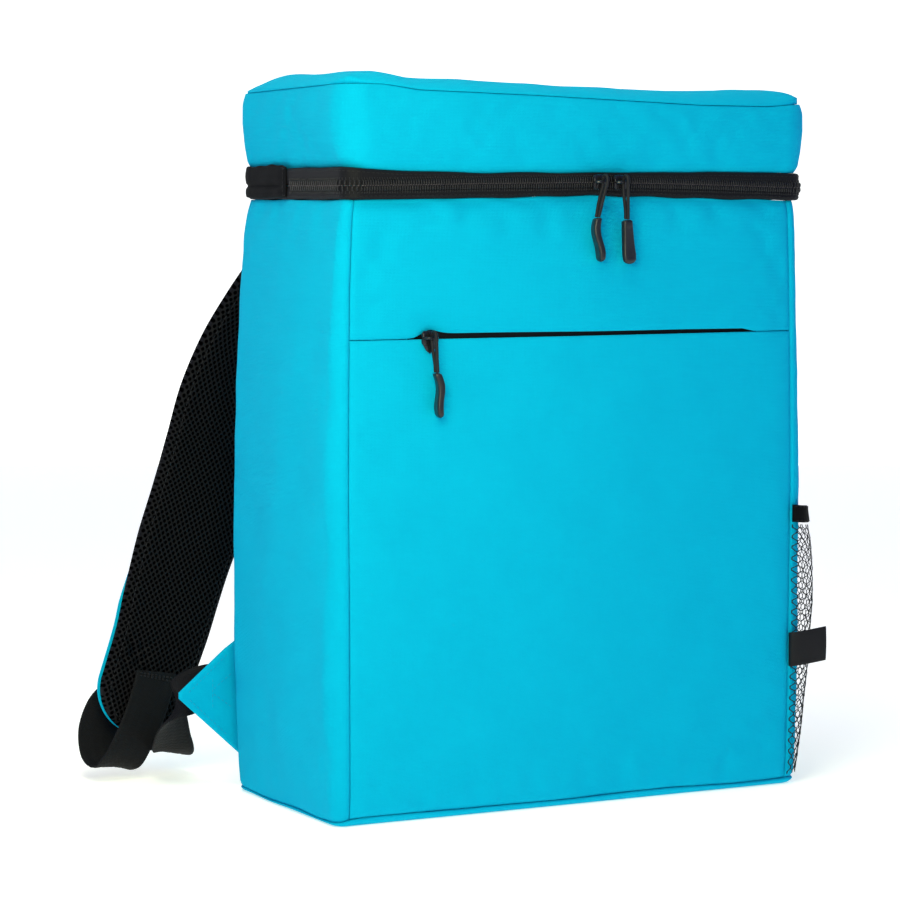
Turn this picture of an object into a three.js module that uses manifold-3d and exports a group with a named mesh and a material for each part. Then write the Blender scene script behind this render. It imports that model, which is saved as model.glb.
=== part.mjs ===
// A tall box-shaped cooler backpack of woven polyester with a zip-round lid,
// a zipped front pocket, a side bottle pocket of net and two padded straps.
// Millimetres. +Z is up, -Y is the front, +X is the right as the front is seen.
// The origin is the middle of the flat base.
import * as THREE from 'three';
import { LoftGeometry } from 'three/addons/geometries/LoftGeometry.js';
import { mergeVertices } from 'three/addons/utils/BufferGeometryUtils.js';
import Module from 'manifold-3d';

const wasm = await Module();
wasm.setup();

// ---------------------------------------------------------------- main sizes
const GAP = 0.4;                 // free space between neighbouring pieces
const FRONT_CLOTH = 1.9;         // outer front cloth
const POCKET_GAP = 1.6;          // flat front pocket behind it
const WALL = 4.5;                // insulated wall: cloth, foam and foil
const BASE_TOP = 4.0;            // thickness of the padded base
const POCKET_Z = 261.0;          // height of the front pocket's zip
const POCKET_SLIT = { from: -101, to: 114, left: 2.7, right: 1.6 };
const TAPE_OUT = 3.0;            // how far the zip band stands out of the neck
const TAPE_IN = 1.7;             // how far it reaches in behind the neck line
const COIL_OUT = 0.95;           // coil ridge on the tape
const NET_THICK = 1.2;
const STRAP = { pad: 7.6, cover: 1.9, coverExtra: 1.3, tongue: 25 };
const WEBBING = { width: 25, thick: 1.5 };

// Plan section of the body at a few heights: shift and half sizes, corner
// radii at the front and the back, and how far each face swells in its middle.
const BODY_ROWS = [
  { z: 4, cx: 0, a: 147.6, b: 67.6, rF: 8.7, rB: 13, front: 0.3, side: 0.3, back: 0.2 },
  { z: 16, cx: 0, a: 148.6, b: 68.8, rF: 9.6, rB: 14, front: 1.0, side: 1.2, back: 0.8 },
  { z: 56, cx: 0, a: 149.9, b: 69.6, rF: 10.6, rB: 14, front: 2.4, side: 2.2, back: 1.6 },
  { z: 116, cx: 0, a: 150.5, b: 70.0, rF: 11.0, rB: 14, front: 3.5, side: 3.0, back: 2.2 },
  { z: 176, cx: 0, a: 150.2, b: 70.0, rF: 10.2, rB: 14, front: 4.0, side: 3.0, back: 2.2 },
  { z: 236, cx: 0, a: 148.4, b: 69.6, rF: 9.0, rB: 14, front: 3.4, side: 2.6, back: 1.8 },
  { z: 286, cx: 0, a: 146.0, b: 69.0, rF: 7.4, rB: 14, front: 2.4, side: 2.0, back: 1.2 },
  { z: 316, cx: 0.4, a: 144.2, b: 68.4, rF: 6.6, rB: 14, front: 1.5, side: 1.4, back: 0.8 },
  { z: 328, cx: 0.8, a: 142.9, b: 67.7, rF: 6.0, rB: 14, front: 1.0, side: 0.9, back: 0.4 },
  { z: 338, cx: 1.2, a: 141.2, b: 66.7, rF: 5.8, rB: 14, front: 0.5, side: 0.4, back: 0.2 },
];

// Long soft folds of the front cloth: middle, direction, half length and
// half width, and the depth that the cloth sinks there.
const FRONT_FOLDS = [
  { x: 78, z: 84, angle: 52, length: 62, width: 13, depth: 1.2 },
  { x: 104, z: 56, angle: 48, length: 46, width: 11, depth: 1.0 },
  { x: 40, z: 56, angle: 60, length: 50, width: 15, depth: 0.7 },
  { x: -70, z: 308, angle: 8, length: 46, width: 9, depth: 0.8 },
  { x: 70, z: 302, angle: -14, length: 52, width: 10, depth: 0.9 },
];
const SIDE_FOLDS = [
  { v: -10, z: 314, angle: 20, length: 36, width: 9, depth: 1.0 },
  { v: 15, z: 56, angle: 62, length: 44, width: 12, depth: 0.9 },
];

// The zip band all round the neck: lower edge, coil line and upper edge along x.
const BAND_ROWS = [
  { x: -140, low: 335.4, coil: 343, high: 352.6 },
  { x: -108, low: 335.8, coil: 343.4, high: 350.9 },
  { x: -60, low: 336.6, coil: 344.2, high: 350 },
  { x: 12, low: 337.8, coil: 345, high: 350.2 },
  { x: 80, low: 336.4, coil: 343.8, high: 350.4 },
  { x: 140, low: 334.9, coil: 342.2, high: 350.4 },
];
const NECK = { cx: 3, a: 141.5, b: 67, rF: 6.5, rB: 14, front: 0.4, side: 0.3, back: 0.2 };

// The padded lid wall, from the band (f = 0) to the seam of the top (f = 1).
const LID_ROWS = [
  { f: 0.0, cx: 4, a: 142.4, b: 68.6, r: 12 },
  { f: 0.1, cx: 4, a: 144.6, b: 70.3, r: 12 },
  { f: 0.3, cx: 4, a: 146.8, b: 71.4, r: 12 },
  { f: 0.6, cx: 4, a: 148.3, b: 71.9, r: 12 },
  { f: 0.85, cx: 4, a: 148.2, b: 71.3, r: 12 },
  { f: 1.0, cx: 4, a: 146.8, b: 69.8, r: 12 },
];
const LID_WALL = 3.6;
// Height of the top seam along the front edge and along the back edge.
const LID_SEAM = [
  { x: -146, front: 396.6, back: 394.2 },
  { x: -118, front: 396.3, back: 394 },
  { x: -98, front: 393.6, back: 393.4 },
  { x: -25, front: 391.6, back: 392 },
  { x: 78, front: 387.6, back: 389.4 },
  { x: 123, front: 387.4, back: 388.6 },
  { x: 151, front: 389.4, back: 388.6 },
];
// How high the top cloth stands above its seam, along x.
const LID_CROWN = [
  { x: -146, rise: 4.4 }, { x: -110, rise: 7.2 }, { x: -60, rise: 8.2 },
  { x: 0, rise: 7.4 }, { x: 60, rise: 7.8 }, { x: 110, rise: 8.0 }, { x: 151, rise: 5.4 },
];
const LID_INSETS = [0, 4, 11, 24, 50];

// Bottle pocket: how far the net stands off the side panel at each height.
const NET_ROWS = [
  { z: 7, out: 0.6 }, { z: 16, out: 2.2 }, { z: 28, out: 4.8 }, { z: 48, out: 9.5 },
  { z: 78, out: 15.5 }, { z: 106, out: 19.5 }, { z: 132, out: 18.5 }, { z: 151.6, out: 13.5 },
];
const NET_BINDING = [{ z: 152, out: 13.0 }, { z: 162, out: 10.5 }];
const NET_SAG = 5.5;             // dip of the pocket's mouth in its middle
const NET_STEPS = { arc: 4, flat: 8, arcShare: 0.125 };

// Left strap from the back of the neck round to its tongue end. The right
// strap is its mirror image.
const STRAP_ROWS = [
  { x: -66, y: 69.6, z: 327, width: 62 }, { x: -66, y: 82, z: 327, width: 63 },
  { x: -68.5, y: 93, z: 324, width: 64 }, { x: -74, y: 106, z: 312, width: 65 },
  { x: -83, y: 116, z: 290, width: 66 }, { x: -96, y: 125, z: 266, width: 66 },
  { x: -107, y: 131.5, z: 244, width: 66 }, { x: -117, y: 137, z: 217, width: 66 },
  { x: -124, y: 140.5, z: 190, width: 65 }, { x: -133, y: 141.5, z: 161, width: 64 },
  { x: -145, y: 140.5, z: 131, width: 61 }, { x: -154.5, y: 138.5, z: 104, width: 58 },
  { x: -163.5, y: 134.5, z: 80, width: 55 }, { x: -173, y: 131.5, z: 58, width: 53 },
  { x: -182, y: 128.8, z: 38, width: 51 }, { x: -187, y: 127.5, z: 27, width: 50 },
];
// Webbing loop sewn on the strap's net face and folded round its end, with the
// direction of its width in each row.
const LOOP_ROWS = [
  { x: -170, y: 128.6, z: 78, wx: 1, wy: 0, wz: -0.35 },
  { x: -171, y: 125.7, z: 60, wx: 1, wy: 0, wz: -0.35 },
  { x: -177, y: 122.8, z: 43, wx: 1, wy: 0, wz: -0.35 },
  { x: -186, y: 119.6, z: 26, wx: 1, wy: 0.1, wz: -0.4 },
  { x: -194, y: 120.0, z: 12.8, wx: 1, wy: 0.1, wz: -0.3 },
  { x: -199, y: 127, z: 8.0, wx: 1, wy: 0.1, wz: -0.1 },
  { x: -201, y: 137, z: 12.5, wx: 1, wy: 0.1, wz: 0 },
  { x: -200, y: 144, z: 25, wx: 1, wy: 0.1, wz: 0 },
  { x: -194, y: 147, z: 37, wx: 1, wy: 0, wz: -0.1 },
  { x: -183, y: 148.2, z: 47, wx: 1, wy: 0, wz: -0.3 },
  { x: -174, y: 148.4, z: 58, wx: 1, wy: 0, wz: -0.1 },
];
// Adjusting webbing from behind the cloth tab to the ladder lock.
const ADJUST_ROWS = [
  { x: -146, y: 77.2, z: 59, wx: 0, wy: 0, wz: 1 },
  { x: -160, y: 79.6, z: 58.4, wx: 0, wy: 0.02, wz: 1 },
  { x: -171, y: 87, z: 51, wx: 0.1, wy: 0.1, wz: 0.95 },
  { x: -173, y: 96, z: 38, wx: 0.6, wy: 0, wz: 0.7 },
  { x: -169, y: 108, z: 24, wx: 0.9, wy: 0, wz: 0.2 },
  { x: -162.5, y: 121.5, z: 14.5, wx: 1, wy: -0.1, wz: -0.2 },
  { x: -166, y: 137, z: 15.5, wx: 1, wy: 0, wz: -0.2 },
  { x: -172, y: 149.5, z: 28, wx: 1, wy: 0, wz: 0 },
  { x: -171, y: 155.3, z: 46, wx: 1, wy: 0, wz: 0 },
  { x: -170, y: 156, z: 58, wx: 1, wy: 0, wz: 0 },
];
const TAB_ROWS = [
  { x: -126, y: 70.6, low: 16, high: 88 }, { x: -138, y: 72.5, low: 16, high: 88 },
  { x: -150, y: 72.5, low: 27, high: 80 }, { x: -178.5, y: 72.5, low: 53.2, high: 56.4 },
];
const TAB_THICK = 2.4;
const LOCK = { x: -170, y: 149.9, z: 68, width: 32, height: 33, thick: 4 };

// Moulded grip at the end of a pull cord: height below its top, width and depth.
const GRIP_ROWS = [
  { h: 0, width: 5.4, depth: 3.6 }, { h: 0.8, width: 6.6, depth: 4.6 },
  { h: 6, width: 6.9, depth: 4.9 }, { h: 13, width: 7.8, depth: 4.6 },
  { h: 20, width: 9.0, depth: 4.5 }, { h: 23.4, width: 8.2, depth: 4.1 },
  { h: 25, width: 5.2, depth: 2.8 },
];
const CORD_R = 0.95;

// ------------------------------------------------------------------- colours
const CLOTH = { color: 0x0ab4dc, roughness: 0.82, metalness: 0 };
const BLACK_CLOTH = { color: 0x17181b, roughness: 0.86, metalness: 0 };
const BLACK_PLASTIC = { color: 0x1b1c1f, roughness: 0.42, metalness: 0 };
const BLACK_METAL = { color: 0x15161a, roughness: 0.34, metalness: 0.6 };

// ------------------------------------------------------------------- helpers
const bag = new THREE.Group();

function piece(name, geometry, look) {
  const mesh = new THREE.Mesh(geometry, new THREE.MeshStandardMaterial(look));
  mesh.name = name;
  bag.add(mesh);
  return mesh;
}

// Straight-line reading of a table: rows hold a key column and named values.
function read(rows, key, value) {
  const last = rows.length - 1;
  if (value <= rows[0][key]) return rows[0];
  if (value >= rows[last][key]) return rows[last];
  let i = 0;
  while (rows[i + 1][key] < value) i += 1;
  const t = (value - rows[i][key]) / (rows[i + 1][key] - rows[i][key]);
  const out = {};
  for (const column of Object.keys(rows[i])) {
    out[column] = rows[i][column] + t * (rows[i + 1][column] - rows[i][column]);
  }
  return out;
}

function newell(points) {
  const n = new THREE.Vector3();
  points.forEach((p, i) => {
    const q = points[(i + 1) % points.length];
    n.x += (p.y - q.y) * (p.z + q.z);
    n.y += (p.z - q.z) * (p.x + q.x);
    n.z += (p.x - q.x) * (p.y + q.y);
  });
  return n;
}

function middle(points) {
  const c = new THREE.Vector3();
  points.forEach((p) => c.add(p));
  return c.divideScalar(points.length);
}

// Closed solid through closed sections; `ring` joins the last to the first.
function loft(sections, ring = false) {
  let turn = 0;
  for (let i = 0; i + 1 < sections.length; i += 1) {
    turn += newell(sections[i]).dot(middle(sections[i + 1]).sub(middle(sections[i])));
  }
  let list = turn < 0 ? sections.map((s) => s.slice().reverse()) : sections;
  if (ring) list = [...list, list[0]];
  return new LoftGeometry(list, { closed: true, capStart: !ring, capEnd: !ring });
}

const vec = (x, y, z) => new THREE.Vector3(x, y, z);
const hump = (t) => Math.cos((Math.PI * t) / 2) ** 2;

function foldDepth(folds, u, z) {
  let sum = 0;
  for (const fold of folds) {
    const a = THREE.MathUtils.degToRad(fold.angle);
    const du = u - (fold.x ?? fold.v);
    const dz = z - fold.z;
    const along = du * Math.cos(a) + dz * Math.sin(a);
    const across = -du * Math.sin(a) + dz * Math.cos(a);
    sum += fold.depth * Math.exp(-((along / fold.length) ** 2) - (across / fold.width) ** 2);
  }
  return sum;
}

// Plan paths of a section. Each point has its outward direction.
function facePath(s, steps, face, trim = 0.2) {
  const radius = face === 'front' ? s.rF : s.rB;
  const half = s.a - radius - trim;
  const sign = face === 'front' ? -1 : 1;
  const swell = face === 'front' ? s.front : s.back;
  return Array.from({ length: steps + 1 }, (_, i) => {
    const t = -1 + (2 * i) / steps;
    return { x: s.cx + t * half, y: sign * (s.b + swell * hump(t)), nx: 0, ny: sign };
  });
}

// From the front seam round the front corner, back along the side and round
// the back corner to the back seam. side is -1 for the left and 1 for the right.
function sidePath(s, side, arcSteps = 4, flatSteps = 6) {
  const path = [];
  const arc = (radius, sy, from, to) => {
    const x0 = s.a - radius;
    const y0 = sy * (s.b - radius);
    for (let i = 0; i <= arcSteps; i += 1) {
      const angle = THREE.MathUtils.degToRad(from + ((to - from) * i) / arcSteps);
      path.push({ x: x0 + radius * Math.cos(angle), y: y0 + radius * Math.sin(angle), nx: Math.cos(angle), ny: Math.sin(angle) });
    }
  };
  arc(s.rF, -1, -90, 0);
  path[0].x += 0.2;
  const from = -(s.b - s.rF);
  const to = s.b - s.rB;
  for (let i = 1; i < flatSteps; i += 1) {
    const t = -1 + (2 * i) / flatSteps;
    path.push({ x: s.a + s.side * hump(t), y: from + ((to - from) * (t + 1)) / 2, nx: 1, ny: 0 });
  }
  arc(s.rB, 1, 0, 90);
  path[path.length - 1].x += 0.2;
  return path.map((p) => ({ x: s.cx + side * p.x, y: p.y, nx: side * p.nx, ny: p.ny }));
}

const inset = (p, depth, z) => vec(p.x - p.nx * depth, p.y - p.ny * depth, z);
const bodyAt = (z) => read(BODY_ROWS, 'z', z);
const bandAt = (x) => read(BAND_ROWS, 'x', x);

// Closed sheet between two grids of points, outer[j][i] and inner[j][i].
function slab(outer, inner) {
  const columns = outer.length;
  const rows = outer[0].length;
  const positions = [];
  for (const grid of [outer, inner]) grid.forEach((line) => line.forEach((p) => positions.push(p.x, p.y, p.z)));
  const o = (j, i) => j * rows + i;
  const n = (j, i) => (columns + j) * rows + i;
  const faces = [];
  const quad = (a, b, c, d) => faces.push([a, b, c], [a, c, d]);
  for (let j = 0; j + 1 < columns; j += 1) {
    for (let i = 0; i + 1 < rows; i += 1) {
      quad(o(j, i), o(j + 1, i), o(j + 1, i + 1), o(j, i + 1));
      quad(n(j, i), n(j, i + 1), n(j + 1, i + 1), n(j + 1, i));
    }
    quad(n(j, 0), n(j + 1, 0), o(j + 1, 0), o(j, 0));
    quad(o(j, rows - 1), o(j + 1, rows - 1), n(j + 1, rows - 1), n(j, rows - 1));
  }
  for (let i = 0; i + 1 < rows; i += 1) {
    quad(n(0, i), o(0, i), o(0, i + 1), n(0, i + 1));
    quad(o(columns - 1, i), n(columns - 1, i), n(columns - 1, i + 1), o(columns - 1, i + 1));
  }
  const side = outer[1][0].clone().sub(outer[0][0]).cross(outer[0][1].clone().sub(outer[0][0]));
  const flip = side.dot(outer[0][0].clone().sub(inner[0][0])) < 0;
  const geometry = new THREE.BufferGeometry();
  geometry.setAttribute('position', new THREE.Float32BufferAttribute(positions, 3));
  geometry.setIndex(faces.flatMap(([a, b, c]) => (flip ? [a, c, b] : [a, b, c])));
  geometry.computeVertexNormals();
  return geometry;
}

// A wall between two depths under the surface; heights(point) lists its rows.
function wall(pathAt, heights, outer, inner, folds = () => 0) {
  const grid = (depth) => pathAt(POCKET_Z).map((start, j) => heights(start).map((z) => {
    const p = pathAt(z)[j];
    return inset(p, depth + folds(p, z), z);
  }));
  return slab(grid(outer), grid(inner));
}

// ---------------------------------------------------------------------- base
const baseSection = bodyAt(BASE_TOP);
const baseRing = (depth, z) => {
  const right = sidePath(baseSection, 1);
  const left = sidePath(baseSection, -1).reverse();
  const front = facePath(baseSection, 4, 'front', 6).slice(0, 5);
  const back = facePath(baseSection, 4, 'back', 6).reverse();
  return [...front, ...right, ...back, ...left].map((p) => inset(p, depth, z));
};
piece('base_panel', loft([
  baseRing(4.5, 0), baseRing(2, 0.8), baseRing(0.6, 2.2), baseRing(0, BASE_TOP),
]), CLOTH);

// --------------------------------------------------------------------- walls
const WALL_Z = [16, 44, 80, 121, 171, 216, 256, 288, 314, 327];
const wallTop = (x) => bandAt(x).low - 0.5;
const wallLevels = (p) => [BASE_TOP + GAP, ...WALL_Z, wallTop(p.x)];
for (const [name, side] of [['side_panel_left', -1], ['side_panel_right', 1]]) {
  const folds = (p, z) => (Math.abs(p.nx) > 0.99 ? foldDepth(SIDE_FOLDS, p.y, z) * hump(p.y / 58) : 0);
  piece(name, wall((z) => sidePath(bodyAt(z), side), wallLevels, 0, WALL, folds), CLOTH);
}
piece('back_panel', wall((z) => facePath(bodyAt(z), 8, 'back'), wallLevels, 0, WALL), CLOTH);

const FRONT_STEPS = 18;
const frontAt = (z) => facePath(bodyAt(z), FRONT_STEPS, 'front');
const frontFold = (p, z) => foldDepth(FRONT_FOLDS, p.x, z) * hump(p.x / 140);
piece('front_pocket_panel', wall(frontAt,
  () => [BASE_TOP + GAP, 16, 33, 52, 72, 94, 121, 156, 196, 231, POCKET_Z], 0, FRONT_CLOTH, frontFold), CLOTH);

// The slit of the pocket zip opens between the two front cloths.
function slitHeight(x) {
  const { from, to, left, right } = POCKET_SLIT;
  if (x <= from || x >= to) return 0;
  const open = THREE.MathUtils.lerp(left, right, (x - from) / (to - from));
  return open * Math.min(1, (x - from) / 8, (to - x) / 8);
}
const upperSteps = 24;
piece('front_upper_panel', wall((z) => facePath(bodyAt(z), upperSteps, 'front'),
  (p) => [POCKET_Z + GAP + slitHeight(p.x), 278, 296, 312, 325, wallTop(p.x)], 0, FRONT_CLOTH, frontFold), CLOTH);
piece('pocket_zip_tape', (() => {
  const sections = [];
  for (let i = 0; i <= 10; i += 1) {
    const x = POCKET_SLIT.from - 3 + ((POCKET_SLIT.to - POCKET_SLIT.from + 6) * i) / 10;
    const s = bodyAt(POCKET_Z);
    const y = -(s.b + s.front * hump(x / (s.a - s.rF)));
    sections.push([[2.3, -4], [2.3, 6.5], [3.0, 6.5], [3.0, -4]].map(([d, h]) => vec(x, y + d, POCKET_Z + h)));
  }
  return loft(sections);
})(), BLACK_CLOTH);
piece('front_wall', wall((z) => facePath(bodyAt(z), 10, 'front', 0.4),
  (p) => [BASE_TOP + GAP, 26, 71, 116, 176, 236, 286, 316, wallTop(p.x)],
  FRONT_CLOTH + POCKET_GAP, FRONT_CLOTH + POCKET_GAP + WALL, frontFold), CLOTH);

// ------------------------------------------------------------------ zip band
// Stations from the back-left corner along the left side, the front and the
// right side to the back-right corner.
function neckRoute() {
  const left = sidePath(NECK, -1).reverse();
  const right = sidePath(NECK, 1);
  return [...left, ...facePath(NECK, 12, 'front').slice(1, -1), ...right];
}
// profile(point) lists [distance out of the neck line, height] pairs.
const band = (route, profile) => loft(route.map((p) => profile(p).map(([out, z]) => inset(p, -out, z))));
const route = neckRoute();
piece('main_zip_tape_lower', band(route, (p) => {
  const r = bandAt(p.x);
  return [[-TAPE_IN, r.low], [TAPE_OUT - 0.5, r.low], [TAPE_OUT, r.low + 1.6], [TAPE_OUT, r.coil - 0.2], [-TAPE_IN, r.coil - 0.2]];
}), BLACK_CLOTH);
piece('main_zip_tape_upper', band(route, (p) => {
  const r = bandAt(p.x);
  return [[-TAPE_IN, r.coil + 0.2], [TAPE_OUT, r.coil + 0.2], [TAPE_OUT, r.high - 1.4], [TAPE_OUT - 0.6, r.high], [-TAPE_IN, r.high]];
}), BLACK_CLOTH);
// The teeth show between the two end covers, which start a little behind the
// middle of each side.
const COVER_FROM_Y = 3;
const coilRoute = route.filter((p) => p.y < COVER_FROM_Y - 1);
piece('main_zip_coil', band(coilRoute, (p) => {
  const z = bandAt(p.x).coil;
  const o = TAPE_OUT + 0.3;
  return [[o, z - 2.9], [o + COIL_OUT, z - 2.2], [o + COIL_OUT, z + 2.2], [o, z + 2.9]];
}), BLACK_PLASTIC);
for (const [name, side] of [['zip_end_cover_left', -1], ['zip_end_cover_right', 1]]) {
  const part = sidePath(NECK, side).filter((p) => p.y > COVER_FROM_Y);
  const start = { ...part[0], y: COVER_FROM_Y, x: part[0].x };
  piece(name, band([start, ...part.slice(part[0].y - COVER_FROM_Y < 2 ? 1 : 0)], (p) => {
    const r = bandAt(p.x);
    const o = TAPE_OUT + 0.35;
    const top = r.high + (side < 0 ? 1.8 : -0.6);
    return [[o, r.low + 1], [o + 1, r.low + 1.4], [o + 1, top - 0.8], [o, top - 0.2]];
  }), BLACK_CLOTH);
}
// Cloth hinge of the lid across the back, between the ends of the band.
piece('lid_hinge', band(facePath(NECK, 8, 'back'), (p) => {
  const r = bandAt(p.x);
  return [[-TAPE_IN, r.low], [1.6, r.low], [2.0, (r.low + r.high) / 2], [1.6, r.high], [-TAPE_IN, r.high]];
}), CLOTH);

// ----------------------------------------------------------------------- lid
const seamAt = (x, y) => {
  const row = read(LID_SEAM, 'x', x);
  return THREE.MathUtils.lerp(row.front, row.back, THREE.MathUtils.clamp((y + 70) / 140, 0, 1));
};
// Closed plan ring of a lid section, always with the same stations.
function lidRing(f, depth) {
  const row = read(LID_ROWS, 'f', f);
  const s = { ...row, rF: row.r, rB: row.r, front: 0, side: 0, back: 0 };
  const right = sidePath(s, 1, 3, 5);
  const left = sidePath(s, -1, 3, 5).reverse();
  const front = facePath(s, 14, 'front', 0).slice(1, -1);
  const back = facePath(s, 10, 'back', 0).slice(1, -1).reverse();
  return [...front, ...right, ...back, ...left].map((p) => ({ ...p, x: p.x - p.nx * depth, y: p.y - p.ny * depth }));
}
const lidLevel = (p, f) => THREE.MathUtils.lerp(bandAt(p.x).high + 0.5, seamAt(p.x, p.y), f);
piece('lid_gusset', (() => {
  const levels = LID_ROWS.map((row) => row.f);
  const outer = levels.map((f) => lidRing(f, 0));
  const inner = levels.map((f) => lidRing(f, LID_WALL));
  const sections = outer[0].map((_, j) => [
    ...levels.map((f, i) => vec(outer[i][j].x, outer[i][j].y, lidLevel(outer[i][j], f))),
    ...levels.map((f, i) => vec(inner[i][j].x, inner[i][j].y, lidLevel(outer[i][j], f))).reverse(),
  ]);
  return loft(sections, true);
})(), CLOTH);

// The top lies on the gusset's seam: a flat underside and a puffed upper face.
piece('lid_top', (() => {
  const rim = lidRing(1, 0);
  const half = LID_ROWS[LID_ROWS.length - 1];
  const ringAt = (depth, height) => rim.map((p) => {
    const k = depth / half.b;
    const x = half.cx + (p.x - half.cx) * (1 - (depth / half.a) * (1 - 0.2 * k));
    const y = p.y * (1 - k);
    return vec(x, y, height(x, y, p));
  });
  const crown = (x, depth) => read(LID_CROWN, 'x', x).rise * (1 - (1 - Math.min(1, depth / 34)) ** 2.6);
  const under = LID_INSETS.slice(1).reverse().map((d) => ringAt(d, (x, y, p) => seamAt(p.x, p.y) + GAP + 0.4 - 0.05 * Math.max(0, d - 4)));
  const edge = [ringAt(0, (x, y, p) => seamAt(p.x, p.y) + GAP), ringAt(0, (x, y, p) => seamAt(p.x, p.y) + GAP + 1.2)];
  const upper = LID_INSETS.slice(1).map((d) => ringAt(d, (x, y, p) => seamAt(p.x, p.y) + GAP + 1.2 + crown(x, d)));
  return loft([...under, ...edge, ...upper]);
})(), CLOTH);

// ------------------------------------------------------------- bottle pocket
// Curve of the net round the right side, from the front seam (t = 0) to the
// back seam (t = 1), standing off the side panel.
const netLevels = (rows) => rows.map((row) => row.z);
function netPoint(z, j, rows, extra) {
  const { arc, flat, arcShare } = NET_STEPS;
  const p = sidePath(bodyAt(z), 1, arc, flat)[j];
  const t = j <= arc ? (arcShare * j) / arc : Math.min(1, arcShare + ((1 - arcShare) * (j - arc)) / flat);
  const out = 0.7 + read(rows, 'z', z).out * Math.sin(Math.PI * t) ** 0.8 + extra;
  return inset(p, -out, z - NET_SAG * (z / 162) ** 2 * Math.sin(Math.PI * t));
}
function netWall(rows, levels, thick) {
  const count = sidePath(bodyAt(50), 1, NET_STEPS.arc, NET_STEPS.flat).length;
  const grid = (extra) => Array.from({ length: count }, (_, j) => levels.map((z) => netPoint(z, j, rows, extra)));
  return slab(grid(thick), grid(0));
}
piece('mesh_pocket_net', netWall(NET_ROWS, netLevels(NET_ROWS), NET_THICK), BLACK_CLOTH);
piece('mesh_pocket_binding', netWall(NET_BINDING, [152, 157, 162], 2.0), BLACK_CLOTH);

// Blank folded label caught in the front right seam.
piece('seam_label', (() => {
  const rows = [
    { x: 138.2, y: -71.2, rise: 0 }, { x: 138.9, y: -73.1, rise: 0.1 }, { x: 143, y: -75.2, rise: 0.8 },
    { x: 150, y: -77.0, rise: 1.9 }, { x: 158.8, y: -78.3, rise: 3.2 },
  ];
  return loft(rows.map(({ x, y, rise }) => [[-0.5, 69], [0.5, 69], [0.5, 88.6], [-0.5, 88.6]]
    .map(([d, z]) => vec(x + 0.25 * d, y + d, z + rise))));
})(), BLACK_CLOTH);

// ------------------------------------------------------------ shoulder straps
function sweepFrames(rows, steps, widthHint) {
  const curve = new THREE.CatmullRomCurve3(rows.map((r) => vec(r.x, r.y, r.z)), false, 'centripetal');
  curve.arcLengthDivisions = 600;
  const total = curve.getLength();
  const knots = rows.map((_, i) => i / (rows.length - 1));
  return steps.map((distance) => {
    const u = distance / total;
    const k = curve.getUtoTmapping(u);
    const tangent = curve.getTangent(k).normalize();
    const at = Math.min(rows.length - 2, Math.floor(k * (rows.length - 1)));
    const f = k * (rows.length - 1) - at;
    const row = {};
    for (const column of Object.keys(rows[0])) row[column] = THREE.MathUtils.lerp(rows[at][column], rows[at + 1][column], f);
    const hint = widthHint(row);
    const W = hint.sub(tangent.clone().multiplyScalar(hint.dot(tangent))).normalize();
    return { p: curve.getPoint(k), T: tangent, W, N: tangent.clone().cross(W), row, left: total - distance, total, knots };
  });
}
const spread = (from, to, count) => Array.from({ length: count + 1 }, (_, i) => from + ((to - from) * i) / count);
const mirror = (side) => (p) => vec(side * p.x, p.y, p.z);

const strapCurve = new THREE.CatmullRomCurve3(STRAP_ROWS.map((r) => vec(r.x, r.y, r.z)), false, 'centripetal');
const strapLength = strapCurve.getLength();
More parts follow.
